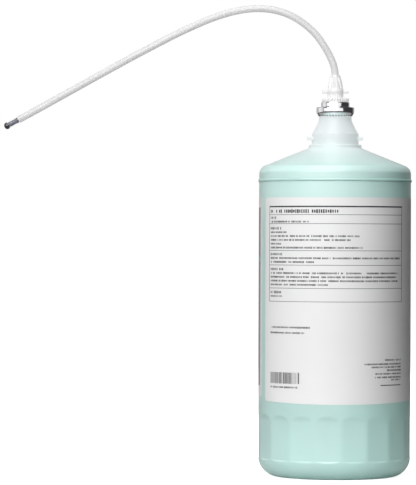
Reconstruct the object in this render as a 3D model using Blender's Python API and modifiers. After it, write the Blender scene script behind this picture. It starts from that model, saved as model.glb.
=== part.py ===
"""Hand soap refill pack: a bottle of soap with a crimped-on pump and an arched delivery tube.

Metres, +Z up. The origin is at the centre of the bottle's foot. The tube reaches out to -X, and the
directions label faces -Y.
"""
import math

import bmesh
import bpy
import numpy as np
from mathutils import Matrix, Vector

# Clearances and fineness
GAP = 0.0003
BOTTLE_STEPS = 54
RING_STEPS = 36
PUMP_STEPS = 24

# Bottle
BODY_R = 0.0510
WALL = 0.0012
HEEL_R = 0.0130
PUSH_UP = 0.0030
STAND_RING_IN = 0.0345
SHOULDER_R = 0.0060
SHOULDER_Z = 0.2029
CONE_SLOPE = math.radians(22.0)
PANEL_COUNT = 18
PANEL_TURN = math.radians(12.7)
PANEL_VERTEX_R = 0.0509
PANEL_LOW = 0.0105
PANEL_HIGH = 0.0405
PANEL_FAR_R = 0.0590
RIB_Z = 0.1985
RIB_OUT = 0.0007
RIB_HALF = 0.0009
FLANGE_R = 0.0177
FLANGE_TOP = 0.2227
NECK_R = 0.0157
NECK_TOP = 0.2298
NECK_WALL = 0.0014
THROAT_R = 0.0110
THROAT_LOW = 0.2392
LIP_R = 0.0116
LIP_TOP = 0.2450
LIP_REACH = 0.0013
MOUTH_R = 0.0090
LUG_REACH = 0.01865
LUG_WIDTH = 0.0104
LUG_LOW = 0.2260
LUG_HIGH = 0.2280
FILL_Z = 0.2165
CUT_OVER = 0.0050

# Labels
LABEL_R = 0.0513
LABEL_THICK = 0.00025
LABEL_LOW = 0.0505
LABEL_HIGH = 0.1868
LABEL_CORNER = 0.0020
LABEL_COLUMNS = 36
CORNER_COLUMNS = 3
DIRECTIONS_SPAN = (-66.7, 108.5)
FRONT_SPAN = (113.0, 286.5)

# Pump
FERRULE_R = 0.0127
TURRET_R = 0.0095
TURRET_TOP = 0.2513
CRIMP_LOW = 0.2419
SHEET = 0.0004
COLLAR_R = 0.0092
COLLAR_LOW = 0.2516
COLLAR_TOP = 0.2544
BORE_R = 0.0056
HOUSING_TOP = 0.2472
GASKET_R = 0.0115
GASKET_BORE_R = 0.0070
SHELF_Z = 0.2252
SEAT_Z = 0.2216
SEAT_R = 0.0012
SEAT_RISE = 0.0012
WELL_R = 0.0024
SOCKET_LOW = 0.2104
SOCKET_R = 0.0039
BARREL_WALL = 0.0010
HOUSING_RIM = 0.0010
PISTON_LOW = 0.2375
PISTON_TOP = 0.2425
STEM_R = 0.0029
STEM_TOP = 0.2580
SPRING_R = 0.0044
SPRING_WIRE_R = 0.00045
SPRING_TURNS = 5
INLET_BALL_R = 0.0019
OUTLET_BALL_R = 0.0014
OUTLET_SEAT_Z = 0.2552
OUTLET_SEAT_RISE = 0.0007
STEM_BORE_R = 0.0010
SPIGOT_R = 0.0019
DIP_R = 0.0024
DIP_BORE_R = 0.0017
DIP_LOW = 0.0060
DIP_TOP = 0.2201

# Head, tube and tip
SKIRT_R = 0.0054
SKIRT_LOW = 0.2526
TAB_LOW = 0.2574
TAB_HIGH = 0.2599
TAB_REACH = 0.00875
TAB_WIDTH = 0.0046
HEAD_TOP = 0.2695
HEAD_BORE_R = 0.0013
TAB_SLOPE = 0.55
GROOVE_COUNT = 8
GROOVE_R = 0.0012
GROOVE_MID_R = 0.00515
GROOVE_LEAN = math.radians(10)
TUBE_R = 0.00238
TUBE_WALL = 0.0005
TUBE_START = 0.2615
TUBE_ROUTE = [
    (0.0000, TUBE_START), (0.0000, 0.2675), (-0.0010, 0.2754), (-0.0038, 0.2824),
    (-0.0084, 0.2903), (-0.0129, 0.2965), (-0.0194, 0.3027), (-0.0264, 0.3076),
    (-0.0335, 0.3110), (-0.0430, 0.3136), (-0.0533, 0.3143), (-0.0668, 0.3126),
    (-0.0802, 0.3086), (-0.1003, 0.3001), (-0.1272, 0.2864), (-0.1541, 0.2717),
    (-0.1809, 0.2567), (-0.2078, 0.2417), (-0.2198, 0.2352),
]
TUBE_SPACING = 0.0058
TIP_R = 0.00225
TIP_ROUND = 0.0016
TIP_LENGTH = 0.0032
TIP_SHANK = 0.0074
TIP_OUTLET_R = 0.0006


def clear_scene():
    for obj in list(bpy.data.objects):
        bpy.data.objects.remove(obj, do_unlink=True)


def new_collection(name):
    collection = bpy.data.collections.new(name)
    bpy.context.scene.collection.children.link(collection)
    return collection


def make_material(name, color, roughness, metallic=0.0, alpha=1.0):
    material = bpy.data.materials.new(name)
    material.use_nodes = True
    shader = material.node_tree.nodes["Principled BSDF"]
    shader.inputs["Base Color"].default_value = (*color, 1.0)
    shader.inputs["Roughness"].default_value = roughness
    shader.inputs["Metallic"].default_value = metallic
    shader.inputs["Alpha"].default_value = alpha
    return material


def add_mesh_object(name, mesh, collection, material=None, smooth_deg=35):
    obj = bpy.data.objects.new(name, mesh)
    collection.objects.link(obj)
    if material is not None:
        mesh.materials.append(material)
    mesh.shade_smooth()
    mesh.set_sharp_from_angle(angle=math.radians(smooth_deg))
    return obj


def turned(name, profile, steps, collection, material=None, closed=False):
    """A solid of revolution about Z. The profile is (radius, height) pairs, top to bottom outside."""
    mesh = bpy.data.meshes.new(name)
    count = len(profile)
    edges = [(i, i + 1) for i in range(count - 1)]
    if closed:
        edges.append((count - 1, 0))
    mesh.from_pydata([(r, 0.0, z) for r, z in profile], edges, [])
    obj = bpy.data.objects.new(name, mesh)
    collection.objects.link(obj)
    if material is not None:
        mesh.materials.append(material)
    screw = obj.modifiers.new("turn", "SCREW")
    screw.axis = "Z"
    screw.steps = steps
    screw.render_steps = steps
    screw.use_merge_vertices = True
    screw.merge_threshold = 0.00002
    screw.use_smooth_shade = True
    return obj


def hide_cutter(obj):
    obj.hide_render = True
    obj.display_type = "WIRE"


def cut(obj, cutter, operation="DIFFERENCE"):
    hide_cutter(cutter)
    modifier = obj.modifiers.new(operation.lower(), "BOOLEAN")
    modifier.operation = operation
    modifier.solver = "EXACT"
    modifier.object = cutter


def arc(center, radius, start_deg, end_deg, pieces):
    """Points of a round stretch of a profile, both ends included."""
    angles = np.radians(np.linspace(start_deg, end_deg, pieces + 1))
    return [(center[0] + radius * math.cos(a), center[1] + radius * math.sin(a)) for a in angles]


def add_box(name, size, center, collection):
    mesh = bpy.data.meshes.new(name)
    shape = bmesh.new()
    bmesh.ops.create_cube(shape, size=1.0)
    bmesh.ops.scale(shape, vec=Vector(size), verts=shape.verts)
    bmesh.ops.translate(shape, vec=Vector(center), verts=shape.verts)
    shape.to_mesh(mesh)
    shape.free()
    return add_mesh_object(name, mesh, collection)


def add_ball(name, radius, height, collection, material):
    mesh = bpy.data.meshes.new(name)
    shape = bmesh.new()
    bmesh.ops.create_uvsphere(shape, u_segments=14, v_segments=8, radius=radius)
    shape.to_mesh(mesh)
    shape.free()
    ball = add_mesh_object(name, mesh, collection, material)
    ball.location.z = height
    return ball


def cone_height(radius, inset):
    """Height of the cone shoulder at a radius, inset square to its slope."""
    corner_z = SHOULDER_Z + SHOULDER_R * math.cos(CONE_SLOPE)
    corner_r = BODY_R - SHOULDER_R + SHOULDER_R * math.sin(CONE_SLOPE)
    return corner_z - (radius - corner_r) * math.tan(CONE_SLOPE) - inset / math.cos(CONE_SLOPE)


def body_profile(inset, top_radius):
    """From the cone's upper end down to the middle of the foot, inset by a wall."""
    heel_center = (BODY_R - HEEL_R, HEEL_R)
    shoulder_center = (BODY_R - SHOULDER_R, SHOULDER_Z)
    profile = [(top_radius, cone_height(top_radius, inset))]
    profile += arc(shoulder_center, SHOULDER_R - inset, 90 - math.degrees(CONE_SLOPE), 0, 3)
    profile += arc(heel_center, HEEL_R - inset, 0, -90, 4)
    profile += [
        (STAND_RING_IN, inset),
        (STAND_RING_IN - 0.0030, PUSH_UP * 0.6 + inset),
        (0.0, PUSH_UP + inset),
    ]
    return profile


def add_rib(profile):
    """Set the thin rib into the straight wall of the bottle's profile."""
    wall = next(i for i, (r, z) in enumerate(profile) if abs(z - SHOULDER_Z) < 1e-6) + 1
    rib = [
        (BODY_R, RIB_Z + RIB_HALF + RIB_OUT),
        (BODY_R + RIB_OUT, RIB_Z + RIB_HALF * 0.5),
        (BODY_R + RIB_OUT, RIB_Z - RIB_HALF * 0.5),
        (BODY_R, RIB_Z - RIB_HALF - RIB_OUT),
    ]
    return profile[:wall] + rib + profile[wall:]


def panel_cutter(name, inset, collection):
    """A ring whose inside is a polygon: it planes the flat panels round the foot."""
    vertex_r = PANEL_VERTEX_R - inset
    profile = [
        (PANEL_FAR_R, PANEL_HIGH),
        (PANEL_FAR_R, PANEL_LOW),
        (vertex_r + 0.0018, PANEL_LOW),
        (vertex_r, PANEL_LOW + 0.0022),
        (vertex_r, PANEL_HIGH - 0.0060),
        (vertex_r + 0.0012, PANEL_HIGH),
    ]
    ring = turned(name, profile, PANEL_COUNT, collection, closed=True)
    ring.rotation_euler.z = PANEL_TURN
    return ring


def build_bottle(parts, cutters, material):
    neck = [
        (0.0, LIP_TOP),
        (LIP_R, LIP_TOP),
        (LIP_R, LIP_TOP - 0.0006),
        (LIP_R - LIP_REACH, LIP_TOP - 0.0016),
        (LIP_R - LIP_REACH, THROAT_LOW + 0.0024),
        (THROAT_R, THROAT_LOW + 0.0020),
        (THROAT_R, THROAT_LOW),
        (NECK_R - 0.0013, NECK_TOP + 0.0035),
        (NECK_R, NECK_TOP),
        (NECK_R, FLANGE_TOP),
        (FLANGE_R, FLANGE_TOP),
    ]
    outside = add_rib(neck + body_profile(0.0, FLANGE_R))
    bottle = turned("bottle", outside, BOTTLE_STEPS, parts, material)

    throat_in = NECK_R - NECK_WALL
    inside = [
        (0.0, LIP_TOP + CUT_OVER),
        (MOUTH_R, LIP_TOP + CUT_OVER),
        (MOUTH_R, THROAT_LOW),
        (throat_in, NECK_TOP - 0.0006),
    ]
    inside += body_profile(WALL, throat_in)
    cavity = turned("bottle_cavity", inside, BOTTLE_STEPS, cutters)
    cut(cavity, panel_cutter("cavity_panels", WALL, cutters))

    cut(bottle, panel_cutter("bottle_panels", 0.0, cutters))
    lug_bar = add_box("lug_bar", (2 * LUG_REACH, LUG_WIDTH, LUG_HIGH - LUG_LOW),
                      (0.0, 0.0, (LUG_LOW + LUG_HIGH) / 2), cutters)
    round_lugs = lug_bar.modifiers.new("round", "BEVEL")
    round_lugs.width = 0.0004
    round_lugs.segments = 1
    cut(bottle, lug_bar, "UNION")
    cut(bottle, cavity)
    return bottle


def build_soap(parts, cutters, material):
    inset = WALL + GAP
    level_r = NECK_R + (cone_height(NECK_R, inset) - FILL_Z) / math.tan(CONE_SLOPE)
    profile = [(0.0, FILL_Z)] + body_profile(inset, level_r)
    soap = turned("soap_fill", profile, BOTTLE_STEPS, parts, material)
    cut(soap, panel_cutter("soap_panels", inset, cutters))
    well = [
        (0.0, FILL_Z + CUT_OVER),
        (SOCKET_R + GAP, FILL_Z + CUT_OVER),
        (SOCKET_R + GAP, SOCKET_LOW - GAP),
        (DIP_R + GAP, SOCKET_LOW - GAP),
        (DIP_R + GAP, DIP_LOW - GAP),
        (0.0, DIP_LOW - GAP),
    ]
    cut(soap, turned("soap_well", well, PUMP_STEPS, cutters))
    return soap


def label_edge(arc_in, height):
    """How far the rounded corner eats into the label's height at a distance in from its end."""
    if arc_in >= LABEL_CORNER:
        return height
    rise = math.sqrt(max(0.0, LABEL_CORNER ** 2 - (LABEL_CORNER - arc_in) ** 2))
    return height - LABEL_CORNER + rise


def build_label(name, span_deg, parts, material):
    """A sheet with round corners, bent round the bottle. Degrees run from -Y towards +X."""
    length = math.radians(span_deg[1] - span_deg[0]) * LABEL_R
    middle = (LABEL_LOW + LABEL_HIGH) / 2
    half = (LABEL_HIGH - LABEL_LOW) / 2
    shape = bmesh.new()
    bmesh.ops.create_grid(shape, x_segments=LABEL_COLUMNS, y_segments=1, size=0.5)
    corner_share = LABEL_CORNER / length
    for vert in shape.verts:
        step = round((vert.co.x + 0.5) * LABEL_COLUMNS)
        from_end = min(step, LABEL_COLUMNS - step)
        if from_end <= CORNER_COLUMNS:
            eased = corner_share * (1 - math.cos(math.pi / 2 * from_end / CORNER_COLUMNS))
            share = eased if step < LABEL_COLUMNS / 2 else 1 - eased
        else:
            straight = (step - CORNER_COLUMNS) / (LABEL_COLUMNS - 2 * CORNER_COLUMNS)
            share = corner_share + (1 - 2 * corner_share) * straight
        tall = label_edge(min(share, 1 - share) * length, half)
        angle = math.radians(span_deg[0] + (span_deg[1] - span_deg[0]) * share)
        side = 1 if vert.co.y > 0 else -1
        vert.co = (LABEL_R * math.sin(angle), -LABEL_R * math.cos(angle), middle + side * tall)
    mesh = bpy.data.meshes.new(name)
    shape.to_mesh(mesh)
    shape.free()
    label = add_mesh_object(name, mesh, parts, material)
    sheet = label.modifiers.new("sheet", "SOLIDIFY")
    sheet.thickness = LABEL_THICK
    sheet.offset = 1.0
    return label


def build_ferrule(parts, material):
    hole = COLLAR_R - 0.0022
    roof = HOUSING_TOP + GAP
    profile = [
        (hole, TURRET_TOP),
        (TURRET_R - 0.0003, TURRET_TOP),
        (TURRET_R, TURRET_TOP - 0.0003),
        (TURRET_R, roof + 0.0007),
        (TURRET_R + 0.0003, roof + SHEET),
        (FERRULE_R - 0.0005, roof + SHEET),
        (FERRULE_R, roof - 0.0001),
        (FERRULE_R, CRIMP_LOW + 0.0025),
        (FERRULE_R - 0.0012, CRIMP_LOW),
        (FERRULE_R - 0.0012 - SHEET * 0.9, CRIMP_LOW + 0.0002),
        (FERRULE_R - SHEET, CRIMP_LOW + 0.0026),
        (FERRULE_R - SHEET, roof - 0.0003),
        (FERRULE_R - 0.0007, roof),
        (TURRET_R - SHEET, roof),
        (TURRET_R - SHEET, TURRET_TOP - SHEET),
        (hole, TURRET_TOP - SHEET),
    ]
    return turned("crimp_ferrule", profile, RING_STEPS, parts, material, closed=True)


def build_gasket(parts, material):
    low = LIP_TOP + GAP
    high = HOUSING_TOP - HOUSING_RIM - GAP
    profile = [(GASKET_R, high), (GASKET_R, low), (GASKET_BORE_R, low), (GASKET_BORE_R, high)]
    return turned("neck_gasket", profile, PUMP_STEPS, parts, material, closed=True)


def build_housing(parts, material):
    barrel_r = BORE_R + BARREL_WALL
    socket_r = DIP_R + GAP
    profile = [
        (BORE_R, HOUSING_TOP),
        (LIP_R, HOUSING_TOP),
        (LIP_R, HOUSING_TOP - HOUSING_RIM),
        (barrel_r, HOUSING_TOP - HOUSING_RIM),
        (barrel_r, SHELF_Z - 0.0006),
        (SOCKET_R, SHELF_Z - 0.0040),
        (SOCKET_R, SOCKET_LOW),
        (socket_r, SOCKET_LOW),
        (socket_r, DIP_TOP + GAP),
        (SEAT_R, DIP_TOP + GAP),
        (SEAT_R, SEAT_Z),
        (WELL_R, SEAT_Z + SEAT_RISE),
        (WELL_R, SHELF_Z),
        (BORE_R, SHELF_Z),
    ]
    return turned("pump_housing", profile, PUMP_STEPS, parts, material, closed=True)


def build_collar(parts, material):
    boss_r = COLLAR_R - 0.0025
    guide_r = BORE_R - GAP
    pocket_z = SKIRT_LOW - 0.0033
    profile = [
        (SKIRT_R + GAP, COLLAR_TOP),
        (COLLAR_R - 0.0003, COLLAR_TOP),
        (COLLAR_R, COLLAR_TOP - 0.0003),
        (COLLAR_R, COLLAR_LOW),
        (boss_r, COLLAR_LOW),
        (boss_r, HOUSING_TOP + GAP),
        (guide_r, HOUSING_TOP + GAP),
        (guide_r, PISTON_TOP + 0.0010),
        (STEM_R + GAP, PISTON_TOP + 0.0010),
        (STEM_R + GAP, pocket_z),
        (SKIRT_R + GAP, pocket_z),
    ]
    return turned("pump_collar", profile, RING_STEPS, parts, material, closed=True)


def build_piston(parts, material):
    lip_r = BORE_R - 0.0002
    waist_r = 0.0045
    bore = SPIGOT_R + GAP
    profile = [
        (bore, PISTON_TOP),
        (lip_r, PISTON_TOP),
        (lip_r, PISTON_TOP - 0.0010),
        (waist_r, PISTON_TOP - 0.0018),
        (waist_r, PISTON_LOW + 0.0018),
        (lip_r, PISTON_LOW + 0.0010),
        (lip_r, PISTON_LOW),
        (bore, PISTON_LOW),
    ]
    return turned("piston", profile, PUMP_STEPS, parts, material, closed=True)


def build_stem(parts, material):
    shoulder_z = PISTON_TOP + GAP
    profile = [
        (OUTLET_BALL_R + GAP, STEM_TOP),
        (STEM_R, STEM_TOP),
        (STEM_R, shoulder_z),
        (SPIGOT_R, shoulder_z),
        (SPIGOT_R, PISTON_LOW + GAP),
        (STEM_BORE_R, PISTON_LOW + GAP),
        (STEM_BORE_R, OUTLET_SEAT_Z),
        (OUTLET_BALL_R + GAP, OUTLET_SEAT_Z + OUTLET_SEAT_RISE),
    ]
    return turned("stem", profile, PUMP_STEPS, parts, material, closed=True)


def seated_height(seat_r, seat_z, flare_r, flare_z, ball_r):
    """Height of a ball's centre when it rests one gap off a conical seat."""
    tilt = math.atan2(flare_z - seat_z, flare_r - seat_r)
    apex_z = seat_z - seat_r * math.tan(tilt)
    return apex_z + (ball_r + GAP) / math.cos(tilt)


def build_balls(parts, material):
    inlet_z = seated_height(SEAT_R, SEAT_Z, WELL_R, SEAT_Z + SEAT_RISE, INLET_BALL_R)
    add_ball("inlet_ball", INLET_BALL_R, inlet_z, parts, material)
    outlet_z = seated_height(STEM_BORE_R, OUTLET_SEAT_Z, OUTLET_BALL_R + GAP,
                             OUTLET_SEAT_Z + OUTLET_SEAT_RISE, OUTLET_BALL_R)
    add_ball("outlet_ball", OUTLET_BALL_R, outlet_z, parts, material)


def build_spring(parts, material):
    """An open coil with closed end turns, between the housing's shelf and the piston."""
    low = SHELF_Z + GAP + SPRING_WIRE_R
    high = PISTON_LOW - GAP - SPRING_WIRE_R
    per_turn = 13
    count = SPRING_TURNS * per_turn
    curve = bpy.data.curves.new("main_spring_line", "CURVE")
    curve.dimensions = "3D"
    curve.bevel_depth = SPRING_WIRE_R
    curve.bevel_resolution = 1
    curve.use_fill_caps = True
    spline = curve.splines.new("POLY")
    spline.points.add(count)
    closed_pitch = 2.3 * SPRING_WIRE_R
    for i, point in enumerate(spline.points):
        turn = i / per_turn
        if turn <= 1:
            z = low + closed_pitch * turn
        elif turn >= SPRING_TURNS - 1:
            z = high - closed_pitch * (SPRING_TURNS - turn)
        else:
            share = (turn - 1) / (SPRING_TURNS - 2)
            z = low + closed_pitch + share * (high - low - 2 * closed_pitch)
        angle = 2 * math.pi * turn
        point.co = (SPRING_R * math.cos(angle), SPRING_R * math.sin(angle), z, 1.0)
    return curve_to_mesh("main_spring", curve, parts, material)


def curve_to_mesh(name, curve, parts, material):
    """Turn a bevelled curve into one closed mesh object and drop the curve."""
    guide = bpy.data.objects.new(name + "_guide", curve)
    parts.objects.link(guide)
    depsgraph = bpy.context.evaluated_depsgraph_get()
    mesh = bpy.data.meshes.new_from_object(guide.evaluated_get(depsgraph))
    shape = bmesh.new()
    shape.from_mesh(mesh)
    bmesh.ops.remove_doubles(shape, verts=shape.verts, dist=0.00001)
    shape.to_mesh(mesh)
    shape.free()
    place = guide.matrix_world.copy()
    bpy.data.objects.remove(guide, do_unlink=True)
    mesh.materials.clear()
    obj = add_mesh_object(name, mesh, parts, material, smooth_deg=50)
    obj.matrix_world = place
    return obj


def build_dip_tube(parts, material):
    profile = [(DIP_R, DIP_TOP), (DIP_R, DIP_LOW), (DIP_BORE_R, DIP_LOW), (DIP_BORE_R, DIP_TOP)]
    return turned("dip_tube", profile, 16, parts, material, closed=True)


def head_outline(height):
    """Outer radius of the head's tapered nose, a pointed arch from the tabs up to the tube."""
    share = (height - TAB_HIGH) / (HEAD_TOP - TAB_HIGH)
    top_r = TUBE_R + 0.00065
    return top_r + (SKIRT_R - 0.0001 - top_r) * (1 - share ** 1.45)


def slope_down_to_end(tab):
    """The right tab's top falls away towards its end, as a key for which way round the head sits."""
    for vert in tab.data.vertices:
        if vert.co.z > (TAB_LOW + TAB_HIGH) / 2 and vert.co.x > TAB_REACH - 0.0001:
            vert.co.z -= (TAB_HIGH - TAB_LOW) * TAB_SLOPE


def build_head(parts, cutters, material):
    socket_r = TUBE_R + GAP
    nose = [(head_outline(z), z) for z in np.linspace(HEAD_TOP, TAB_HIGH, 7)]
    profile = [(socket_r, HEAD_TOP)] + nose + [
        (SKIRT_R + 0.0004, TAB_HIGH),
        (SKIRT_R + 0.0004, TAB_LOW),
        (SKIRT_R, TAB_LOW),
        (SKIRT_R, SKIRT_LOW),
        (STEM_R + GAP, SKIRT_LOW),
        (STEM_R + GAP, STEM_TOP + GAP),
        (HEAD_BORE_R, STEM_TOP + 0.0010),
        (HEAD_BORE_R, TUBE_START - GAP),
        (socket_r, TUBE_START - GAP),
    ]
    head = turned("nozzle_head", profile, RING_STEPS, parts, material, closed=True)

    inner = SKIRT_R - 0.0012
    for name, side in (("tab_right", 1), ("tab_left", -1)):
        tab = add_box(name, (TAB_REACH - inner, TAB_WIDTH, TAB_HIGH - TAB_LOW),
                      (side * (TAB_REACH + inner) / 2, 0.0, (TAB_LOW + TAB_HIGH) / 2), cutters)
        if side > 0:
            slope_down_to_end(tab)
        cut(head, tab, "UNION")

    shape = bmesh.new()
    for i in range(GROOVE_COUNT):
        place = (
            Matrix.Rotation(2 * math.pi * (i + 0.5) / GROOVE_COUNT, 4, "Z")
            @ Matrix.Translation((GROOVE_MID_R, 0.0, (TAB_HIGH + HEAD_TOP) / 2 + 0.0006))
            @ Matrix.Rotation(-GROOVE_LEAN, 4, "Y")
        )
        bmesh.ops.create_cone(shape, cap_ends=True, segments=10, radius1=GROOVE_R,
                              radius2=GROOVE_R, depth=HEAD_TOP - TAB_HIGH, matrix=place)
    mesh = bpy.data.meshes.new("head_grooves")
    shape.to_mesh(mesh)
    shape.free()
    cut(head, add_mesh_object("head_grooves", mesh, cutters))
    return head


def smooth_route(points, spacing):
    """Points at about even steps along a smooth curve through the route's own points."""
    route = np.array([(x, 0.0, z) for x, z in points])
    run = np.concatenate([[0.0], np.cumsum(np.linalg.norm(np.diff(route, axis=0), axis=1))])
    slope = np.gradient(route, run, axis=0)
    wanted = np.linspace(0.0, run[-1], round(run[-1] / spacing) + 1)
    piece = np.clip(np.searchsorted(run, wanted, side="right") - 1, 0, len(run) - 2)
    span = (run[piece + 1] - run[piece])[:, None]
    t = (wanted - run[piece])[:, None] / span
    ends = route[piece] * (1 + 2 * t) * (1 - t) ** 2 + route[piece + 1] * t ** 2 * (3 - 2 * t)
    bend = slope[piece] * t * (1 - t) ** 2 - slope[piece + 1] * t ** 2 * (1 - t)
    return ends + span * bend


def build_tube(parts, material, route):
    curve = bpy.data.curves.new("delivery_tube_line", "CURVE")
    curve.dimensions = "3D"
    curve.bevel_depth = TUBE_R
    curve.bevel_resolution = 3
    spline = curve.splines.new("POLY")
    spline.points.add(len(route) - 1)
    for point, place in zip(spline.points, route):
        point.co = (*place, 1.0)
    tube = curve_to_mesh("delivery_tube", curve, parts, material)
    wall = tube.modifiers.new("wall", "SOLIDIFY")
    wall.thickness = TUBE_WALL
    wall.offset = -1.0
    return tube


def build_tip(parts, material, route):
    """The outlet tip: a round head outside the tube and a shank in its bore, on the tube's line."""
    shank_r = TUBE_R - TUBE_WALL - GAP
    profile = [(TIP_OUTLET_R, TIP_LENGTH)]
    profile += arc((TIP_R - TIP_ROUND, TIP_LENGTH - TIP_ROUND), TIP_ROUND, 80, 0, 4)
    profile += [
        (TIP_R, GAP),
        (shank_r, GAP),
        (shank_r, -TIP_SHANK),
        (TIP_OUTLET_R, -TIP_SHANK),
    ]
    tip = turned("outlet_tip", profile, 20, parts, material, closed=True)
    direction = Vector(route[-1] - route[-2]).normalized()
    tip.location = Vector(route[-1])
    tip.rotation_euler = direction.to_track_quat("Z", "Y").to_euler()
    return tip


def main():
    clear_scene()
    parts = new_collection("hand_soap_refill_pack")
    cutters = new_collection("cutters")

    milky = make_material("bottle_plastic", (0.80, 0.88, 0.87), 0.35, alpha=0.6)
    soap = make_material("teal_soap", (0.45, 0.78, 0.72), 0.25)
    paper = make_material("label_film", (0.88, 0.88, 0.87), 0.5)
    metal = make_material("ferrule_metal", (0.80, 0.80, 0.80), 0.15, 1.0)
    steel = make_material("steel_wire", (0.60, 0.60, 0.60), 0.25, 1.0)
    white = make_material("white_plastic", (0.85, 0.85, 0.84), 0.35)
    seal = make_material("seal_rubber", (0.10, 0.10, 0.10), 0.8)
    clear = make_material("clear_tubing", (0.85, 0.86, 0.85), 0.25, alpha=0.5)
    black = make_material("tip_plastic", (0.02, 0.02, 0.025), 0.12)

    build_bottle(parts, cutters, milky)
    build_soap(parts, cutters, soap)
    build_label("directions_label", DIRECTIONS_SPAN, parts, paper)
    build_label("front_label", FRONT_SPAN, parts, paper)
    build_ferrule(parts, metal)
    build_gasket(parts, seal)
    build_housing(parts, white)
    build_collar(parts, white)
    build_piston(parts, white)
    build_stem(parts, white)
    build_balls(parts, steel)
    build_spring(parts, steel)
    build_dip_tube(parts, clear)
    build_head(parts, cutters, white)
    route = smooth_route(TUBE_ROUTE, TUBE_SPACING)
    build_tube(parts, clear, route)
    build_tip(parts, black, route)


main()
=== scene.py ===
import math
import random

import bmesh
import bpy
import numpy as np
from mathutils import Matrix, Vector


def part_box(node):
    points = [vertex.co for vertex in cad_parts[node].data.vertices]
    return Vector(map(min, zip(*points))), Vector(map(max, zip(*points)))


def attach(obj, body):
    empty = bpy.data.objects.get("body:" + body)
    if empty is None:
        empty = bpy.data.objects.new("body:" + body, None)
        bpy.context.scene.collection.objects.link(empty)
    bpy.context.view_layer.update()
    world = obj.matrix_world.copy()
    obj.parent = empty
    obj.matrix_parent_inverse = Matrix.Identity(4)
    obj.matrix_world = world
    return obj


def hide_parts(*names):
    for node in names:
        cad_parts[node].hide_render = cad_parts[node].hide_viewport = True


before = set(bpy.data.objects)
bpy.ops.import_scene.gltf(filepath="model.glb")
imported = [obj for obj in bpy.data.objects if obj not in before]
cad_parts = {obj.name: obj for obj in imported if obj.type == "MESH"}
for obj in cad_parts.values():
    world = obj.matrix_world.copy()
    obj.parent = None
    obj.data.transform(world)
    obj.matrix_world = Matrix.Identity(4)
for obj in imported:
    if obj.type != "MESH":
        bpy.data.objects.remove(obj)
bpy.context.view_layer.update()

mm = 0.001


# camera and cord first

cameraSetup = {
    "place": (-0.0853, -2.16, 0.1567),
    "roll": 0.0038,             # radians, the pack stands very slightly out of true in the view
    "lens": 238.3,
}

tubeSetup = {
    "radius": 2.38 * mm,
    "bore": 1.88 * mm,
    "length": 0.270,
    "exit": (0.0, 0.0, 0.2695),
    "step": 2.4 * mm,           # between the rings of its mesh
    "sides": 40,
    # (x, z) of the points that the moulded arch passes through, head first
    "route": [
        (0.0000, 0.2615), (0.0000, 0.2675), (-0.0010, 0.2754), (-0.0038, 0.2824),
        (-0.0084, 0.2903), (-0.0129, 0.2965), (-0.0194, 0.3027), (-0.0264, 0.3076),
        (-0.0335, 0.3110), (-0.0430, 0.3135), (-0.0533, 0.3142), (-0.0668, 0.3125),
        (-0.0802, 0.3086), (-0.1003, 0.3001), (-0.1272, 0.2864), (-0.1541, 0.2717),
        (-0.1809, 0.2567), (-0.2078, 0.2417), (-0.2198, 0.2352),
    ],
}


def addObject(name, data):
    obj = bpy.data.objects.new(name, data)
    bpy.context.scene.collection.objects.link(obj)
    return obj


def addCamera(setup):
    data = bpy.data.cameras.new("packCamera")
    data.lens = setup["lens"]
    data.sensor_width = 36.0
    data.clip_end = 50.0
    camera = addObject("packCamera", data)
    camera.matrix_world = (
        Matrix.Translation(setup["place"])
        @ Matrix.Rotation(math.radians(90), 4, "X")
        @ Matrix.Rotation(setup["roll"], 4, "Z")
    )
    bpy.context.scene.camera = camera


def smoothRoute(points, spacing):
    # points at about even steps along a smooth curve through the route's own points
    route = np.array([(x, 0.0, z) for x, z in points])
    run = np.concatenate([[0.0], np.cumsum(np.linalg.norm(np.diff(route, axis=0), axis=1))])
    slope = np.gradient(route, run, axis=0)
    wanted = np.linspace(0.0, run[-1], round(run[-1] / spacing) + 1)
    piece = np.clip(np.searchsorted(run, wanted, side="right") - 1, 0, len(run) - 2)
    span = (run[piece + 1] - run[piece])[:, None]
    t = (wanted - run[piece])[:, None] / span
    ends = route[piece] * (1 + 2 * t) * (1 - t) ** 2 + route[piece + 1] * t ** 2 * (3 - 2 * t)
    bend = slope[piece] * t * (1 - t) ** 2 - slope[piece + 1] * t ** 2 * (1 - t)
    return ends + span * bend


addCamera(cameraSetup)
tubeLine = smoothRoute(tubeSetup["route"], tubeSetup["step"])
print("camera set, tube route laid")


# node trees

class Wire:
    # one output of a node; sums written on it add Math nodes
    def __init__(self, graph, socket):
        self.graph = graph
        self.socket = socket

    def __add__(self, other):
        return self.graph.maths("ADD", self, other)

    def __radd__(self, other):
        return self.graph.maths("ADD", other, self)

    def __sub__(self, other):
        return self.graph.maths("SUBTRACT", self, other)

    def __rsub__(self, other):
        return self.graph.maths("SUBTRACT", other, self)

    def __mul__(self, other):
        return self.graph.maths("MULTIPLY", self, other)

    def __rmul__(self, other):
        return self.graph.maths("MULTIPLY", other, self)

    def __truediv__(self, other):
        return self.graph.maths("DIVIDE", self, other)

    def __rtruediv__(self, other):
        return self.graph.maths("DIVIDE", other, self)

    def __pow__(self, other):
        return self.graph.maths("POWER", self, other)


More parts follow.
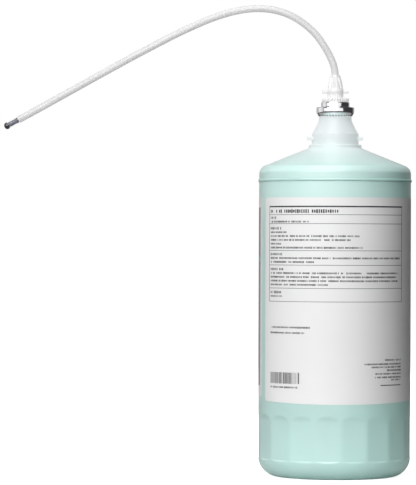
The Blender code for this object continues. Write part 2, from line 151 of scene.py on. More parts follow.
class Graph:
    # a node tree being filled; node() adds any node, its settings first
    def __init__(self, tree):
        self.tree = tree

    def node(self, kind, settings=None, inputs=None, output=0):
        made = self.tree.nodes.new(kind)
        for key, value in (settings or {}).items():
            setattr(made, key, value)
        self.fill(made, inputs or {})
        return Wire(self, made.outputs[output])

    def feed(self, socket, value):
        if isinstance(value, Wire):
            self.tree.links.new(value.socket, socket)
        else:
            socket.default_value = value

    def fill(self, node, values):
        for key, value in values.items():
            self.feed(node.inputs[key], value)

    def maths(self, operation, *values):
        return self.node("ShaderNodeMath", {"operation": operation}, dict(enumerate(values)))

    def ease(self, value, low, high, fromValue=0.0, toValue=1.0):
        # a soft step from one value to another as the input goes from low to high
        return self.node("ShaderNodeMapRange", {"interpolation_type": "SMOOTHSTEP"},
                         {0: value, 1: low, 2: high, 3: fromValue, 4: toValue})

    def mixColor(self, share, first, second):
        return self.node("ShaderNodeMix", {"data_type": "RGBA"}, {0: share, 6: first, 7: second}, 2)

    def split(self, vector):
        parts = self.node("ShaderNodeSeparateXYZ", inputs={0: vector}).socket.node
        return [Wire(self, part) for part in parts.outputs]

    def vector(self, x=0.0, y=0.0, z=0.0):
        return self.node("ShaderNodeCombineXYZ", inputs={0: x, 1: y, 2: z})

    def moved(self, geometry, target):
        return self.node("GeometryNodeSetPosition", inputs={"Geometry": geometry, "Position": target})

    def joined(self, first, second):
        made = self.tree.nodes.new("GeometryNodeJoinGeometry")
        for wire in (first, second):
            self.tree.links.new(wire.socket, made.inputs[0])
        return Wire(self, made.outputs[0])


# materials

def newFinish(name):
    material = bpy.data.materials.new(name)
    material.use_nodes = True
    return material, Graph(material.node_tree), material.node_tree.nodes["Principled BSDF"]


def objectPlace(graph):
    return graph.node("ShaderNodeTexCoord", output="Object")


def noise(graph, place, scale, detail=3.0, roughness=0.5):
    return graph.node("ShaderNodeTexNoise", {"noise_dimensions": "3D"},
                      {"Vector": place, "Scale": scale, "Detail": detail, "Roughness": roughness})


def stretched(graph, place, stretch):
    return graph.node("ShaderNodeMapping", inputs={"Vector": place, "Scale": stretch})


def bump(graph, height, strength, distance):
    return graph.node("ShaderNodeBump", inputs={"Height": height, "Strength": strength, "Distance": distance})


bottleFinish = {
    "soap": (0.445, 0.622, 0.597, 1.0),
    "soapCloud": (0.468, 0.675, 0.642, 1.0),
    "milky": (0.285, 0.305, 0.310, 1.0),
    "soapPaintedTopLight": (0.550, 0.750, 0.715, 1.0),
    "soapPaintedGlow": (0.000, 0.026, 0.017, 1.0),
    "milkyPaintedGlow": (0.410, 0.437, 0.442, 1.0),
    "soapFull": 0.1965,         # below this the wall shows only soap
    "soapGone": 0.2310,         # above this it shows none
    "paintedGlowLow": 0.1995,
    "paintedShadeTone": (0.300, 0.470, 0.440, 1.0),
    # (height, half width, share of the deeper colour) of bands of painted shade over the rib and the
    # shoulder's rounding
    "paintedShadeRings": [(0.1991, 0.0010, 0.50), (0.2072, 0.0022, 0.26)],
}


def makeBottlePlastic(f):
    material, graph, shader = newFinish("bottle_plastic")
    place = objectPlace(graph)
    z = graph.split(place)[2]
    cloud = noise(graph, place, 14.0, 2.0)
    soap = graph.mixColor(graph.ease(cloud, 0.35, 0.65), f["soap"], f["soapCloud"])
    # painted light: the soap's colour turns lighter towards the top, where more light falls
    soap = graph.mixColor(graph.ease(z, 0.15, 0.20), soap, f["soapPaintedTopLight"])
    wavyZ = z + (cloud - 0.5) * 0.004
    # painted shade: darker bands that dull the rib's and the shoulder's highlights
    for height, half, share in f["paintedShadeRings"]:
        off = graph.maths("ABSOLUTE", z - height)
        soap = graph.mixColor(share * (1 - graph.ease(off, half * 0.3, half)), soap, f["paintedShadeTone"])
    empty = graph.ease(wavyZ, f["soapFull"], f["soapGone"])
    # painted glow: an emission colour, milky on the neck and faintly teal over the soap, stands in for light
    # soaking through the plastic
    paintedGlowShare = graph.ease(wavyZ, f["paintedGlowLow"], f["soapGone"])
    skin = noise(graph, place, 220.0, 3.0)
    ripple = noise(graph, stretched(graph, place, (1.0, 1.0, 0.35)), 60.0, 2.0)
    graph.fill(shader, {
        "Base Color": graph.mixColor(empty, soap, f["milky"]),
        "Emission Color": graph.mixColor(paintedGlowShare, f["soapPaintedGlow"], f["milkyPaintedGlow"]),
        "Coat Weight": 0.55 - 0.45 * paintedGlowShare, "Roughness": 0.30 + 0.10 * skin,
        "Normal": bump(graph, skin * 0.25 + ripple, 0.25, 0.00018),
        "IOR": 1.50, "Specular IOR Level": 0.36, "Emission Strength": 1.0,
        "Coat Roughness": 0.34, "Subsurface Weight": 0.12,
        "Subsurface Radius": (0.6, 1.0, 0.9), "Subsurface Scale": 0.006})
    return material


def makeSoap(f):
    material, graph, shader = newFinish("teal_soap")
    place = objectPlace(graph)
    swirl = noise(graph, place, 30.0, 3.0, 0.6)
    pearl = noise(graph, place, 700.0, 1.0)
    graph.fill(shader, {
        "Base Color": graph.mixColor(swirl, f["soap"], f["soapCloud"]), "Roughness": 0.18 + 0.14 * pearl,
        "Subsurface Weight": 0.3, "Subsurface Scale": 0.005})
    return material


def makeLabelFilm():
    material, graph, shader = newFinish("label_film")
    place = objectPlace(graph)
    mottle = noise(graph, place, 45.0, 4.0)
    grain = noise(graph, place, 1600.0, 2.0)
    graph.fill(shader, {
        "Base Color": graph.mixColor(mottle, (0.765, 0.770, 0.765, 1.0), (0.735, 0.742, 0.738, 1.0)),
        "Roughness": 0.42 + 0.10 * grain, "Normal": bump(graph, grain + mottle * 2.0, 0.12, 0.00005),
        "IOR": 1.45})
    return material


def makeInk(name, color, patch):
    # print: a dense field that breaks up a little, like ink on film
    material, graph, shader = newFinish(name)
    broken = noise(graph, objectPlace(graph), 900.0, 3.0, 0.7)
    graph.fill(shader, {"Base Color": graph.mixColor(graph.ease(broken, 0.45, 0.75), color, patch),
                        "Roughness": 0.40 + 0.12 * broken})
    return material


crimpMarks = {"count": 36, "low": 0.2419, "tall": 0.75 * mm, "deep": 0.34 * mm}


def makeFerruleMetal(marks):
    # bright tinned sheet, dull in the marks of the crimping tool, with painted shade: the marks' colour goes
    # near black where shade gathers in them
    material, graph, shader = newFinish("ferrule_metal")
    place = objectPlace(graph)
    x, y, z = graph.split(place)
    wave = 0.5 + 0.5 * graph.maths("COSINE", graph.maths("ARCTAN2", y, x) * marks["count"])
    nearEdge = graph.ease(z, marks["low"] + marks["tall"], marks["low"] + 0.4 * marks["tall"])
    paintedShadeInMark = graph.ease(wave, 0.30, 0.75) * nearEdge
    drawn = noise(graph, stretched(graph, place, (1.0, 1.0, 9.0)), 500.0, 3.0)
    smear = noise(graph, place, 120.0, 3.0)
    bright = graph.mixColor(smear, (0.86, 0.865, 0.875, 1.0), (0.74, 0.745, 0.76, 1.0))
    # painted shade: near-black colour in the crimp marks
    graph.fill(shader, {
        "Base Color": graph.mixColor(paintedShadeInMark, bright, (0.05, 0.06, 0.06, 1.0)),
        "Roughness": 0.10 + 0.10 * smear + 0.3 * paintedShadeInMark, "Normal": bump(graph, drawn, 0.10, 0.00004),
        "Metallic": 1.0})
    return material


def makeWhitePlastic():
    # natural polypropylene: part of its brightness is painted glow, an emission colour that stands in for
    # light soaking through it
    material, graph, shader = newFinish("white_plastic")
    place = objectPlace(graph)
    cloudy = noise(graph, place, 160.0, 3.0)
    skin = noise(graph, place, 1400.0, 2.0)
    graph.fill(shader, {
        "Base Color": graph.mixColor(cloudy, (0.44, 0.44, 0.435, 1.0), (0.41, 0.415, 0.415, 1.0)),
        "Emission Color": graph.mixColor(cloudy, (0.34, 0.34, 0.335, 1.0), (0.31, 0.315, 0.315, 1.0)),
        "Roughness": 0.28 + 0.10 * skin, "Normal": bump(graph, skin + cloudy, 0.15, 0.00005),
        "IOR": 1.49, "Emission Strength": 1.0})
    return material


def grained(name, colors, pattern, gloss, relief=None, stretch=(1.0, 1.0, 1.0), values=None):
    # one fine grain moves the colour, the gloss and the relief
    material, graph, shader = newFinish(name)
    grain = noise(graph, stretched(graph, objectPlace(graph), stretch), *pattern)
    graph.fill(shader, {"Base Color": graph.mixColor(grain, *colors),
                        "Roughness": gloss[0] + gloss[1] * grain})
    if relief:
        graph.fill(shader, {"Normal": bump(graph, grain, *relief)})
    graph.fill(shader, values or {})
    return material


tubeFinish = {
    "body": (0.400, 0.400, 0.400, 1.0),
    "streak": (0.430, 0.430, 0.430, 1.0),
    "wall": (0.320, 0.320, 0.320, 1.0),
    "glow": (0.310, 0.309, 0.308, 1.0),
    "glowStreak": (0.340, 0.339, 0.338, 1.0),
    "edgePaintedShadeGlow": (0.260, 0.260, 0.260, 1.0),
    "alpha": 0.60,
    "edgeAlpha": 0.35,
    "touching": 0.9715,         # how far along it the tip's shank starts to touch the wall
    "clearing": 0.88,           # share of the milkiness lost where it does
}


def makeClearTubing(f):
    # milky see-through tubing; the wall is seen edge on at the sides and closes up there. Its emission colour
    # is painted glow, and colour and glow are painted darker at the edges as painted shade
    material, graph, shader = newFinish("clear_tubing")
    around = graph.node("ShaderNodeUVMap", {"uv_map": "alongAround"})
    streak = noise(graph, stretched(graph, around, (16.0, 7.0, 1.0)), 1.0, 3.0, 0.6)
    share = graph.ease(streak, 0.35, 0.70)
    edge = graph.node("ShaderNodeLayerWeight", inputs={"Blend": 0.5}, output="Facing") ** 1.5
    wetted = graph.ease(graph.split(around)[0], f["touching"] - 0.001, f["touching"] + 0.001)
    # painted glow and painted shade: the emission stands in for light through the wall, and both colours
    # darken towards the edges
    body = graph.mixColor(share, f["body"], f["streak"])
    glow = graph.mixColor(share, f["glow"], f["glowStreak"])
    graph.fill(shader, {
        "Base Color": graph.mixColor(edge, body, f["wall"]),
        "Emission Color": graph.mixColor(edge, glow, f["edgePaintedShadeGlow"]),
        "Alpha": (f["alpha"] + f["edgeAlpha"] * edge) * (1.0 - f["clearing"] * wetted),
        "Roughness": 0.20 + 0.12 * streak, "IOR": 1.50, "Emission Strength": 1.0})
    return material


tipGlaze = {"pattern": (1500.0, 2.0), "relief": (0.08, 0.00003),
            "values": {"IOR": 1.62, "Coat Weight": 0.2, "Coat Roughness": 0.03}}
finishes = {
    "bottle": makeBottlePlastic(bottleFinish),
    "soap": makeSoap(bottleFinish),
    "label": makeLabelFilm(),
    "ink": makeInk("black_ink", (0.020, 0.020, 0.022, 1.0), (0.10, 0.10, 0.10, 1.0)),
    "panelInk": makeInk("slate_ink", (0.235, 0.215, 0.220, 1.0), (0.270, 0.250, 0.255, 1.0)),
    "bandInk": makeInk("teal_ink", (0.16, 0.42, 0.38, 1.0), (0.20, 0.47, 0.43, 1.0)),
    "paleInk": makeInk("pale_ink", (0.70, 0.71, 0.70, 1.0), (0.60, 0.61, 0.60, 1.0)),
    "metal": makeFerruleMetal(crimpMarks),
    "steel": grained("steel_wire", ((0.62, 0.62, 0.63, 1.0), (0.50, 0.50, 0.51, 1.0)), (900.0, 2.0),
                     (0.20, 0.14), stretch=(1.0, 1.0, 6.0), values={"Metallic": 1.0}),
    "white": makeWhitePlastic(),
    "seal": grained("seal_rubber", ((0.09, 0.09, 0.09, 1.0), (0.13, 0.13, 0.13, 1.0)), (2200.0, 3.0),
                    (0.70, 0.20), (0.3, 0.00004)),
    "tube": makeClearTubing(tubeFinish),
    "tip": grained("tip_plastic", ((0.012, 0.012, 0.015, 1.0), (0.022, 0.022, 0.026, 1.0)),
                   gloss=(0.08, 0.06), **tipGlaze),
    "shank": grained("shank_plastic", ((0.060, 0.064, 0.120, 1.0), (0.080, 0.084, 0.145, 1.0)),
                     gloss=(0.35, 0.06), **tipGlaze),
}
print("finishes made:", len(finishes))


# mesh helpers

def arc(center, radius, startDeg, endDeg, pieces):
    angles = np.radians(np.linspace(startDeg, endDeg, pieces + 1))
    return [(center[0] + radius * math.cos(a), center[1] + radius * math.sin(a)) for a in angles]


def straight(start, end, pieces):
    # points from start to end, start left out
    return [(start[0] + (end[0] - start[0]) * i / pieces, start[1] + (end[1] - start[1]) * i / pieces)
            for i in range(1, pieces + 1)]


def turnedMesh(name, profile, columns, closedLoop=True):
    # a turned solid; the profile of (radius, height) runs down its outer side, a zero radius is a pole
    angles = np.arange(columns) * 2 * math.pi / columns
    verts = []
    rings = []
    for radius, height in profile:
        start = len(verts)
        if radius < 1e-7:
            verts.append((0.0, 0.0, height))
            rings.append([start] * columns)
        else:
            verts += [(radius * math.cos(a), radius * math.sin(a), height) for a in angles]
            rings.append(list(range(start, start + columns)))
    faces = []
    pairs = list(zip(rings[:-1], rings[1:]))
    if closedLoop:
        pairs.append((rings[-1], rings[0]))
    for upper, lower in pairs:
        for j in range(columns):
            k = (j + 1) % columns
            corners = [upper[j], lower[j], lower[k], upper[k]]
            face = list(dict.fromkeys(corners))
            if len(face) > 2:
                faces.append(face)
    mesh = bpy.data.meshes.new(name)
    mesh.from_pydata(verts, [], faces)
    mesh.update()
    return mesh


def smoothShade(mesh, sharpDeg):
    mesh.shade_smooth()
    mesh.set_sharp_from_angle(angle=math.radians(sharpDeg))


def freeze(obj):
    # what the modifiers make becomes the object's own mesh, and they are removed
    depsgraph = bpy.context.evaluated_depsgraph_get()
    mesh = bpy.data.meshes.new_from_object(obj.evaluated_get(depsgraph))
    obj.modifiers.clear()
    obj.data = mesh
    return obj


def newShapeTree(name, sizes):
    # a Geometry Nodes tree with named sizes; returns its graph and a wire for each input
    tree = bpy.data.node_groups.new(name, "GeometryNodeTree")
    tree.is_modifier = True
    tree.interface.new_socket("Geometry", in_out="INPUT", socket_type="NodeSocketGeometry")
    for label, default in sizes.items():
        kind = "NodeSocketInt" if isinstance(default, int) else "NodeSocketFloat"
        socket = tree.interface.new_socket(label, in_out="INPUT", socket_type=kind)
        socket.default_value = default
    tree.interface.new_socket("Material", in_out="INPUT", socket_type="NodeSocketMaterial")
    tree.interface.new_socket("Geometry", in_out="OUTPUT", socket_type="NodeSocketGeometry")
    graph = Graph(tree)
    source = graph.node("NodeGroupInput").socket.node
    wires = {socket.name: Wire(graph, socket) for socket in source.outputs if socket.name}
    return graph, wires


def endShapeTree(graph, geometry, wires):
    realized = graph.node("GeometryNodeRealizeInstances", inputs={"Geometry": geometry})
    painted = graph.node("GeometryNodeSetMaterial",
                         inputs={"Geometry": realized, "Material": wires["Material"]})
    end = graph.tree.nodes.new("NodeGroupOutput")
    graph.tree.links.new(painted.socket, end.inputs[0])
    return graph.tree


def shapeWith(obj, tree, material, values):
    modifier = obj.modifiers.new(tree.name, "NODES")
    modifier.node_group = tree
    for item in tree.interface.items_tree:
        if item.in_out == "INPUT" and item.name in values:
            modifier[item.identifier] = values[item.name]
        if item.in_out == "INPUT" and item.name == "Material":
            modifier[item.identifier] = material
    return freeze(obj)


def fieldPlace(graph):
    # the point's place, its distance from the axis and its angle round it
    x, y, z = graph.split(graph.node("GeometryNodeInputPosition"))
    radius = graph.maths("SQRT", x * x + y * y)
    return x, y, z, radius, graph.maths("ARCTAN2", y, x)


def setRadius(graph, geometry, x, y, z, radius, newRadius):
    grow = newRadius / graph.maths("MAXIMUM", radius, 1e-6)
    return graph.moved(geometry, graph.vector(x * grow, y * grow, z))


def finishPiece(obj, material, body, nodes, sharpDeg=35):
    # the calls that every finished piece needs
    if not obj.data.materials:
        obj.data.materials.append(material)
    smoothShade(obj.data, sharpDeg)
    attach(obj, body)
    if nodes:
        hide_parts(*nodes)
    return obj


# bottle

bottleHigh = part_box("bottle")[1]
bottle = {
    "ribOut": 0.7 * mm,         # from the wall to the edge of the solid rib
    "ribRise": 0.6 * mm,
    "ribZ": 0.1985,
    "ribHalf": 0.95 * mm,
    "wall": 1.6 * mm,
    "heel": 13.0 * mm,
    "pushUp": 3.0 * mm,
    "standIn": 34.5 * mm,       # inner edge of the ring it stands on
    "shoulder": 6.0 * mm,
    "shoulderZ": 0.2029,
    "coneSlope": 22.0,
    "flange": 17.7 * mm,
    "flangeTop": 0.2227,
    "neck": 15.7 * mm,
    "neckTop": 0.2298,
    "throat": 11.0 * mm,
    "throatLow": 0.2392,
    "lip": 11.6 * mm,
    "lipTop": bottleHigh.z,
    "mouth": 9.0 * mm,
    "lugReach": 18.65 * mm,
    "lugHalf": 5.2 * mm,
    "lugLow": 0.2260,
    "lugHigh": 0.2280,
    "panels": 18,
    "panelTurn": 12.7,
    "panelCorner": 51.2 * mm,   # radius at the edges between the flats
    "panelLow": 12.7 * mm,
    "panelHigh": 38.0 * mm,
    "ledgeSlope": 0.55,
    "archSlope": 34.0,
    "soften": 0.35 * mm,
    "columns": 360,
}
bottle["radius"] = bottleHigh.x - bottle["ribOut"]


def coneHeight(b, radius, inset=0.0):
    slope = math.radians(b["coneSlope"])
    cornerZ = b["shoulderZ"] + b["shoulder"] * math.cos(slope)
    cornerR = b["radius"] - b["shoulder"] + b["shoulder"] * math.sin(slope)
    return cornerZ - (radius - cornerR) * math.tan(slope) - inset / math.cos(slope)


def neckProfile(b):
    lipUnder = b["lip"] - 1.3 * mm
    dome = [(b["throat"], b["throatLow"] + 1.6 * mm), (b["throat"], b["throatLow"] + 0.4 * mm)]
    for share in np.linspace(0.0, 1.0, 13):
        # a nearly straight cone that eases in at its top and rounds over into the neck
        out = share ** 1.12
        sag = 0.2 * mm * math.sin(share * math.pi)
        dome.append((b["throat"] + (b["neck"] - b["throat"]) * out,
                     b["throatLow"] + (b["neckTop"] - b["throatLow"]) * share - sag))
    profile = [(b["mouth"], b["lipTop"]), (b["lip"] - 0.3 * mm, b["lipTop"])]
    profile += [(b["lip"], b["lipTop"] - 0.3 * mm), (b["lip"], b["lipTop"] - 0.6 * mm)]
    profile += [(lipUnder, b["lipTop"] - 1.6 * mm), (lipUnder, b["throatLow"] + 2.4 * mm)]
    profile += [(b["throat"], b["throatLow"] + 2.0 * mm)] + dome
    profile += [(b["neck"], b["neckTop"] - 0.4 * mm), (b["neck"], b["lugHigh"] + 0.06 * mm)]
    profile += [(b["neck"], b["lugHigh"]), (b["neck"], b["lugHigh"] - 0.3 * mm)]
    profile += [(b["neck"], b["lugLow"] + 0.3 * mm), (b["neck"], b["lugLow"])]
    profile += [(b["neck"], b["lugLow"] - 0.06 * mm), (b["neck"], b["flangeTop"] + 0.5 * mm)]
    profile += [(b["neck"] + 0.15 * mm, b["flangeTop"] + 0.12 * mm), (b["neck"] + 0.5 * mm, b["flangeTop"])]
    edge = (b["flange"] - 0.7 * mm, b["flangeTop"] - 0.7 * mm)
    profile += arc(edge, 0.7 * mm, 90, 0, 5)
    profile += [(b["flange"], coneHeight(b, b["flange"]) + 0.5 * mm)]
    profile += [(b["flange"] + 0.15 * mm, coneHeight(b, b["flange"]) + 0.12 * mm)]
    return profile


def bodyProfile(b):
    slope = b["coneSlope"]
    top = b["flange"] + 0.6 * mm
    shoulderMiddle = (b["radius"] - b["shoulder"], b["shoulderZ"])
    shoulderArc = arc(shoulderMiddle, b["shoulder"], 90 - slope, 0, 14)
    profile = [(top, coneHeight(b, top))]
    profile += straight(profile[-1], shoulderArc[0], 12)[:-1] + shoulderArc
    rib = [(b["radius"], b["ribZ"] + b["ribHalf"] + 0.5 * mm)]
    for degrees in np.linspace(90, -90, 9):
        a = math.radians(degrees)
        rib.append((b["radius"] + b["ribRise"] * math.cos(a) ** 0.8 if abs(degrees) < 90 else b["radius"],
                    b["ribZ"] + b["ribHalf"] * math.sin(a)))
    rib.append((b["radius"], b["ribZ"] - b["ribHalf"] - 0.5 * mm))
    profile += rib
    wall = [(b["radius"], 0.19), (b["radius"], 0.12), (b["radius"], 0.055), (b["radius"], 0.0465)]
    profile += wall
    archTop = (b["radius"], b["panelHigh"] + 6.5 * mm)
    archLow = (b["radius"], b["panelHigh"] - 0.5 * mm)
    ledgeTop = (b["radius"], b["panelLow"] + 0.6 * mm)
    profile += [archTop] + straight(archTop, archLow, 18) + straight(archLow, ledgeTop, 12)
    heelMiddle = (b["radius"] - b["heel"], b["heel"])
    profile += arc(heelMiddle, b["heel"], 0, -12, 12) + arc(heelMiddle, b["heel"], -16, -90, 18)
    profile += [(b["standIn"], 0.0), (b["standIn"] - 1.2 * mm, 0.3 * mm), (b["standIn"] - 3.0 * mm, 1.6 * mm)]
    profile += [(b["standIn"] - 6.0 * mm, b["pushUp"] * 0.8), (0.0, b["pushUp"])]
    return profile


def innerProfile(b):
    # the wall's inside, from the middle of the foot up to the mouth
    wall = b["wall"]
    heelMiddle = (b["radius"] - b["heel"], b["heel"])
    shoulderMiddle = (b["radius"] - b["shoulder"], b["shoulderZ"])
    neckIn = b["neck"] - wall
    profile = [(0.0, b["pushUp"] + wall), (b["standIn"] - 5.0 * mm, b["pushUp"] + wall)]
    profile += [(b["standIn"], wall)] + arc(heelMiddle, b["heel"] - wall, -90, 0, 10)
    profile += arc(shoulderMiddle, b["shoulder"] - wall, 0, 90 - b["coneSlope"], 6)
    profile += [(neckIn, coneHeight(b, neckIn, wall)), (neckIn, b["neckTop"] - 1.0 * mm)]
    profile += [(b["mouth"], b["throatLow"]), (b["mouth"], b["lipTop"] - 1.0 * mm)]
    return profile


def flatsTree(b):
    # planes the flats round the foot; their tops run out in arches and their feet in a short ledge
    sizes = {"Count": b["panels"], "Turn": 0.0, "Corner": 0.0, "Low": 0.0, "High": 0.0,
             "Ledge Slope": 0.0, "Arch Slope": 0.0, "Soften": 0.0}
    graph, wires = newShapeTree("planeFlats", sizes)
    x, y, z, radius, angle = fieldPlace(graph)
    step = 2 * math.pi / wires["Count"]
    offMiddle = graph.maths("ABSOLUTE", graph.maths("WRAP", angle - wires["Turn"], step, 0.0) - step / 2)
    ledge = graph.maths("MAXIMUM", wires["Low"] - z, 0.0) * wires["Ledge Slope"]
    arch = graph.maths("MAXIMUM", z - wires["High"], 0.0) ** 2.0 * wires["Arch Slope"]
    flat = (wires["Corner"] + ledge + arch) * graph.maths("COSINE", step / 2)
    ownFlat = flat / graph.maths("COSINE", offMiddle)
    nextFlat = flat / graph.maths("COSINE", step - offMiddle)
    flats = graph.maths("SMOOTH_MIN", ownFlat, nextFlat, wires["Soften"])
    planed = graph.maths("SMOOTH_MIN", radius, flats, wires["Soften"])
    outside = graph.maths("GREATER_THAN", radius, wires["Corner"] * 0.985)
    inBand = graph.maths("LESS_THAN", z, wires["High"] + 0.0085)
    share = outside * inBand
    shaped = setRadius(graph, wires["Geometry"], x, y, z, radius, radius + (planed - radius) * share)
    return endShapeTree(graph, shaped, wires)


def lugsTree():
    # pulls the two bayonet lugs out of the neck
    graph, wires = newShapeTree("standLugs", {"Reach": 0.0, "Half Width": 0.0, "Low": 0.0,
                                              "High": 0.0, "Neck": 0.0})
    x, y, z, radius = fieldPlace(graph)[:4]
    within = (graph.maths("LESS_THAN", graph.maths("ABSOLUTE", y), wires["Half Width"])
              * graph.maths("GREATER_THAN", z, wires["Low"] - 1e-5)
              * graph.maths("LESS_THAN", z, wires["High"] + 1e-5)
              * graph.maths("GREATER_THAN", radius, wires["Neck"] - 1e-4))
    pulled = graph.maths("SIGN", x) * wires["Reach"]
    target = graph.vector(x + (pulled - x) * within, y, z)
    return endShapeTree(graph, graph.moved(wires["Geometry"], target), wires)


def makeBottle(b):
    profile = neckProfile(b) + bodyProfile(b) + innerProfile(b)
    obj = addObject("bottleShell", turnedMesh("bottleShell", profile, b["columns"]))
    shapeWith(obj, flatsTree(b), finishes["bottle"], {
        "Count": b["panels"], "Turn": math.radians(b["panelTurn"]), "Corner": b["panelCorner"],
        "Low": b["panelLow"], "High": b["panelHigh"], "Ledge Slope": b["ledgeSlope"],
        "Arch Slope": b["archSlope"], "Soften": b["soften"]})
    shapeWith(obj, lugsTree(), finishes["bottle"], {
        "Reach": b["lugReach"], "Half Width": b["lugHalf"], "Low": b["lugLow"],
        "High": b["lugHigh"], "Neck": b["neck"]})
    return finishPiece(obj, finishes["bottle"], "bottle_group", ["bottle"], 40)


makeBottle(bottle)
print("bottle turned, flats planed, lugs pulled")


# labels and their print

label = {
    "low": {"directions_label": 0.0503, "front_label": 0.0541},
    "bow": {"directions_label": 2.1 * mm, "front_label": 0.0},     # its foot edge rises towards the ends
    "high": 0.1868,
    "corner": 2.0 * mm,
    "radius": bottle["radius"] + 0.03 * mm,
    "thick": 0.06 * mm,
    "directions": (-66.7, 108.5),   # degrees from the front (-Y) towards +X
    "front": (113.0, 286.5),
    "strip": 1.5 * mm,
    "gapShare": 0.12,               # share of the strokes left out, as the gaps between words
}
label["printRadius"] = label["radius"] + label["thick"] + 0.01 * mm
inkDepth = 0.015 * mm

# places on the directions label: angles in degrees, heights in metres
directions = {
    "frame": (-60.4, 58.2),
    "topRule": (0.18070, 0.95 * mm),
    "rules": [0.1753, 0.1694, 0.1516, 0.1420, 0.1267, 0.1179],
    "ruleThick": 0.30 * mm,
    "sideThick": 0.45 * mm,
    "textStart": -58.0,
    "textEnd": 56.8,
    "title": (0.1776, 51.5 * mm),
    # blocks of rows: height of the heading, its length, then the lengths of the rows under it in mm
    "blocks": [
        (0.1733, 5, [32]),
        (0.1663, 10, [15, 66, 60, 10, 68]),
        (0.1492, 11, [101, 37]),
        (0.1393, 12, [98, 96, 98, 45]),
        (0.1240, 10, [11]),
    ],
    "pitch": 2.55 * mm,
    "firstDrop": 2.60 * mm,
    "captions": [(0.1008, 33), (0.0972, 29)],
    # rows that end at textEnd: the height and length in mm of each
    "closing": [(0.0795, 16), (0.0768, 32), (0.0748, 27), (0.0727, 14), (0.0704, 24),
                (0.0681, 24), (0.0664, 11)],
    "closingBar": (0.0628, 20),
    "bars": (0.0636, 0.0710, 25.1 * mm),
    "barModule": 0.264 * mm,
    "digits": (0.0612, 24),
}
letters = {
    "plain": (1.20 * mm, 0.46 * mm),
    "bold": (1.60 * mm, 0.74 * mm),
    "title": (2.35 * mm, 0.98 * mm),
    "small": (1.10 * mm, 0.46 * mm),
}


class FlatPrint:
    # print laid out flat: x runs along the label in metres, z is height, y is into the bottle
    def __init__(self, radius):
        self.radius = radius
        self.verts = []
        self.edges = []
        self.faces = []
        self.tall = []
        self.wide = []

    def along(self, degrees):
        return math.radians(degrees) * self.radius

    def addVerts(self, places, tall=0.0, wide=0.0):
        start = len(self.verts)
        self.verts += places
        self.tall += [tall] * len(places)
        self.wide += [wide] * len(places)
        return start

    def strip(self, columns, depth=inkDepth):
        # a thin closed solid from columns of (x, low, high)
        base = self.addVerts([(x, y, z) for x, low, high in columns
                              for y, z in ((0.0, low), (0.0, high), (-depth, high), (-depth, low))])
        for i in range(len(columns) - 1):
            a = base + 4 * i
            for k in range(4):
                m = (k + 1) % 4
                self.faces.append((a + k, a + m, a + 4 + m, a + 4 + k))
        last = base + 4 * (len(columns) - 1)
        self.faces.append((base + 3, base + 2, base + 1, base))
        self.faces.append((last, last + 1, last + 2, last + 3))

    def box(self, start, end, low, high, depth=inkDepth):
        pieces = max(1, math.ceil((end - start) / label["strip"]))
        self.strip([(start + (end - start) * i / pieces, low, high) for i in range(pieces + 1)], depth)

    def row(self, start, length, height, letter):
        tall, wide = letters[letter]
        first = self.addVerts([(start, 0.0, height), (start + length, 0.0, height)], tall, wide)
        self.edges.append((first, first + 1))

    def toObject(self, name):
        mesh = bpy.data.meshes.new(name)
        mesh.from_pydata(self.verts, self.edges, self.faces)
        for key, values in (("letterTall", self.tall), ("letterWide", self.wide)):
            mesh.attributes.new(key, "FLOAT", "POINT").data.foreach_set("value", values)
        mesh.update()
        return addObject(name, mesh)


def wrapTree():
    # sets word-like strokes along the rows, then wraps everything round the bottle
    graph, wires = newShapeTree("wrapRound", {"Radius": 0.0, "Depth": 0.0, "Seed": 1, "Gap Share": 0.0})
    tall = graph.node("GeometryNodeInputNamedAttribute", {"data_type": "FLOAT"}, {"Name": "letterTall"})
    wide = graph.node("GeometryNodeInputNamedAttribute", {"data_type": "FLOAT"}, {"Name": "letterWide"})
    isRow = graph.node("FunctionNodeCompare", {"data_type": "FLOAT", "operation": "GREATER_THAN"},
                       {0: tall, 1: 1e-6})
    split = graph.node("GeometryNodeSeparateGeometry", {"domain": "POINT"},
                       {"Geometry": wires["Geometry"], "Selection": isRow})
    solid = Wire(graph, split.socket.node.outputs[1])
    rows = graph.node("GeometryNodeMeshToCurve", inputs={"Mesh": split})
    count = graph.maths("DIVIDE", graph.node("GeometryNodeSplineLength"), wide * 1.50)
    spaced = graph.node("GeometryNodeResampleCurve", inputs={"Curve": rows, "Count": count})
    dice = [graph.node("FunctionNodeRandomValue", {"data_type": "FLOAT"},
                       {2: 0.0, 3: 1.0, 8: wires["Seed"] + k}, 1) for k in range(3)]
    kept = graph.node("FunctionNodeCompare", {"data_type": "FLOAT", "operation": "GREATER_THAN"},
                      {0: dice[0], 1: wires["Gap Share"]})
    stroke = graph.node("GeometryNodeMeshCube", inputs={"Size": (1.0, 1.0, 1.0)})
    size = graph.vector(wide * (0.75 + 0.55 * dice[1]), wires["Depth"] * 2.0, tall * (0.75 + 0.40 * dice[2]))
    placed = graph.node("GeometryNodeInstanceOnPoints",
                        inputs={"Points": spaced, "Selection": kept, "Instance": stroke, "Scale": size})
    strokes = graph.node("GeometryNodeRealizeInstances", inputs={"Geometry": placed})
    x, y, z = fieldPlace(graph)[:3]
    turn = x / wires["Radius"]
    out = wires["Radius"] - y
    target = graph.vector(out * graph.maths("SINE", turn), 0.0 - out * graph.maths("COSINE", turn), z)
    return endShapeTree(graph, graph.moved(graph.joined(strokes, solid), target), wires)


wrap = wrapTree()


def wrapPiece(flat, name, material, seed, nodes):
    obj = flat.toObject(name)
    shapeWith(obj, wrap, material, {"Radius": flat.radius, "Depth": inkDepth, "Seed": seed,
                                    "Gap Share": label["gapShare"]})
    return finishPiece(obj, material, "bottle_group", nodes, 30)


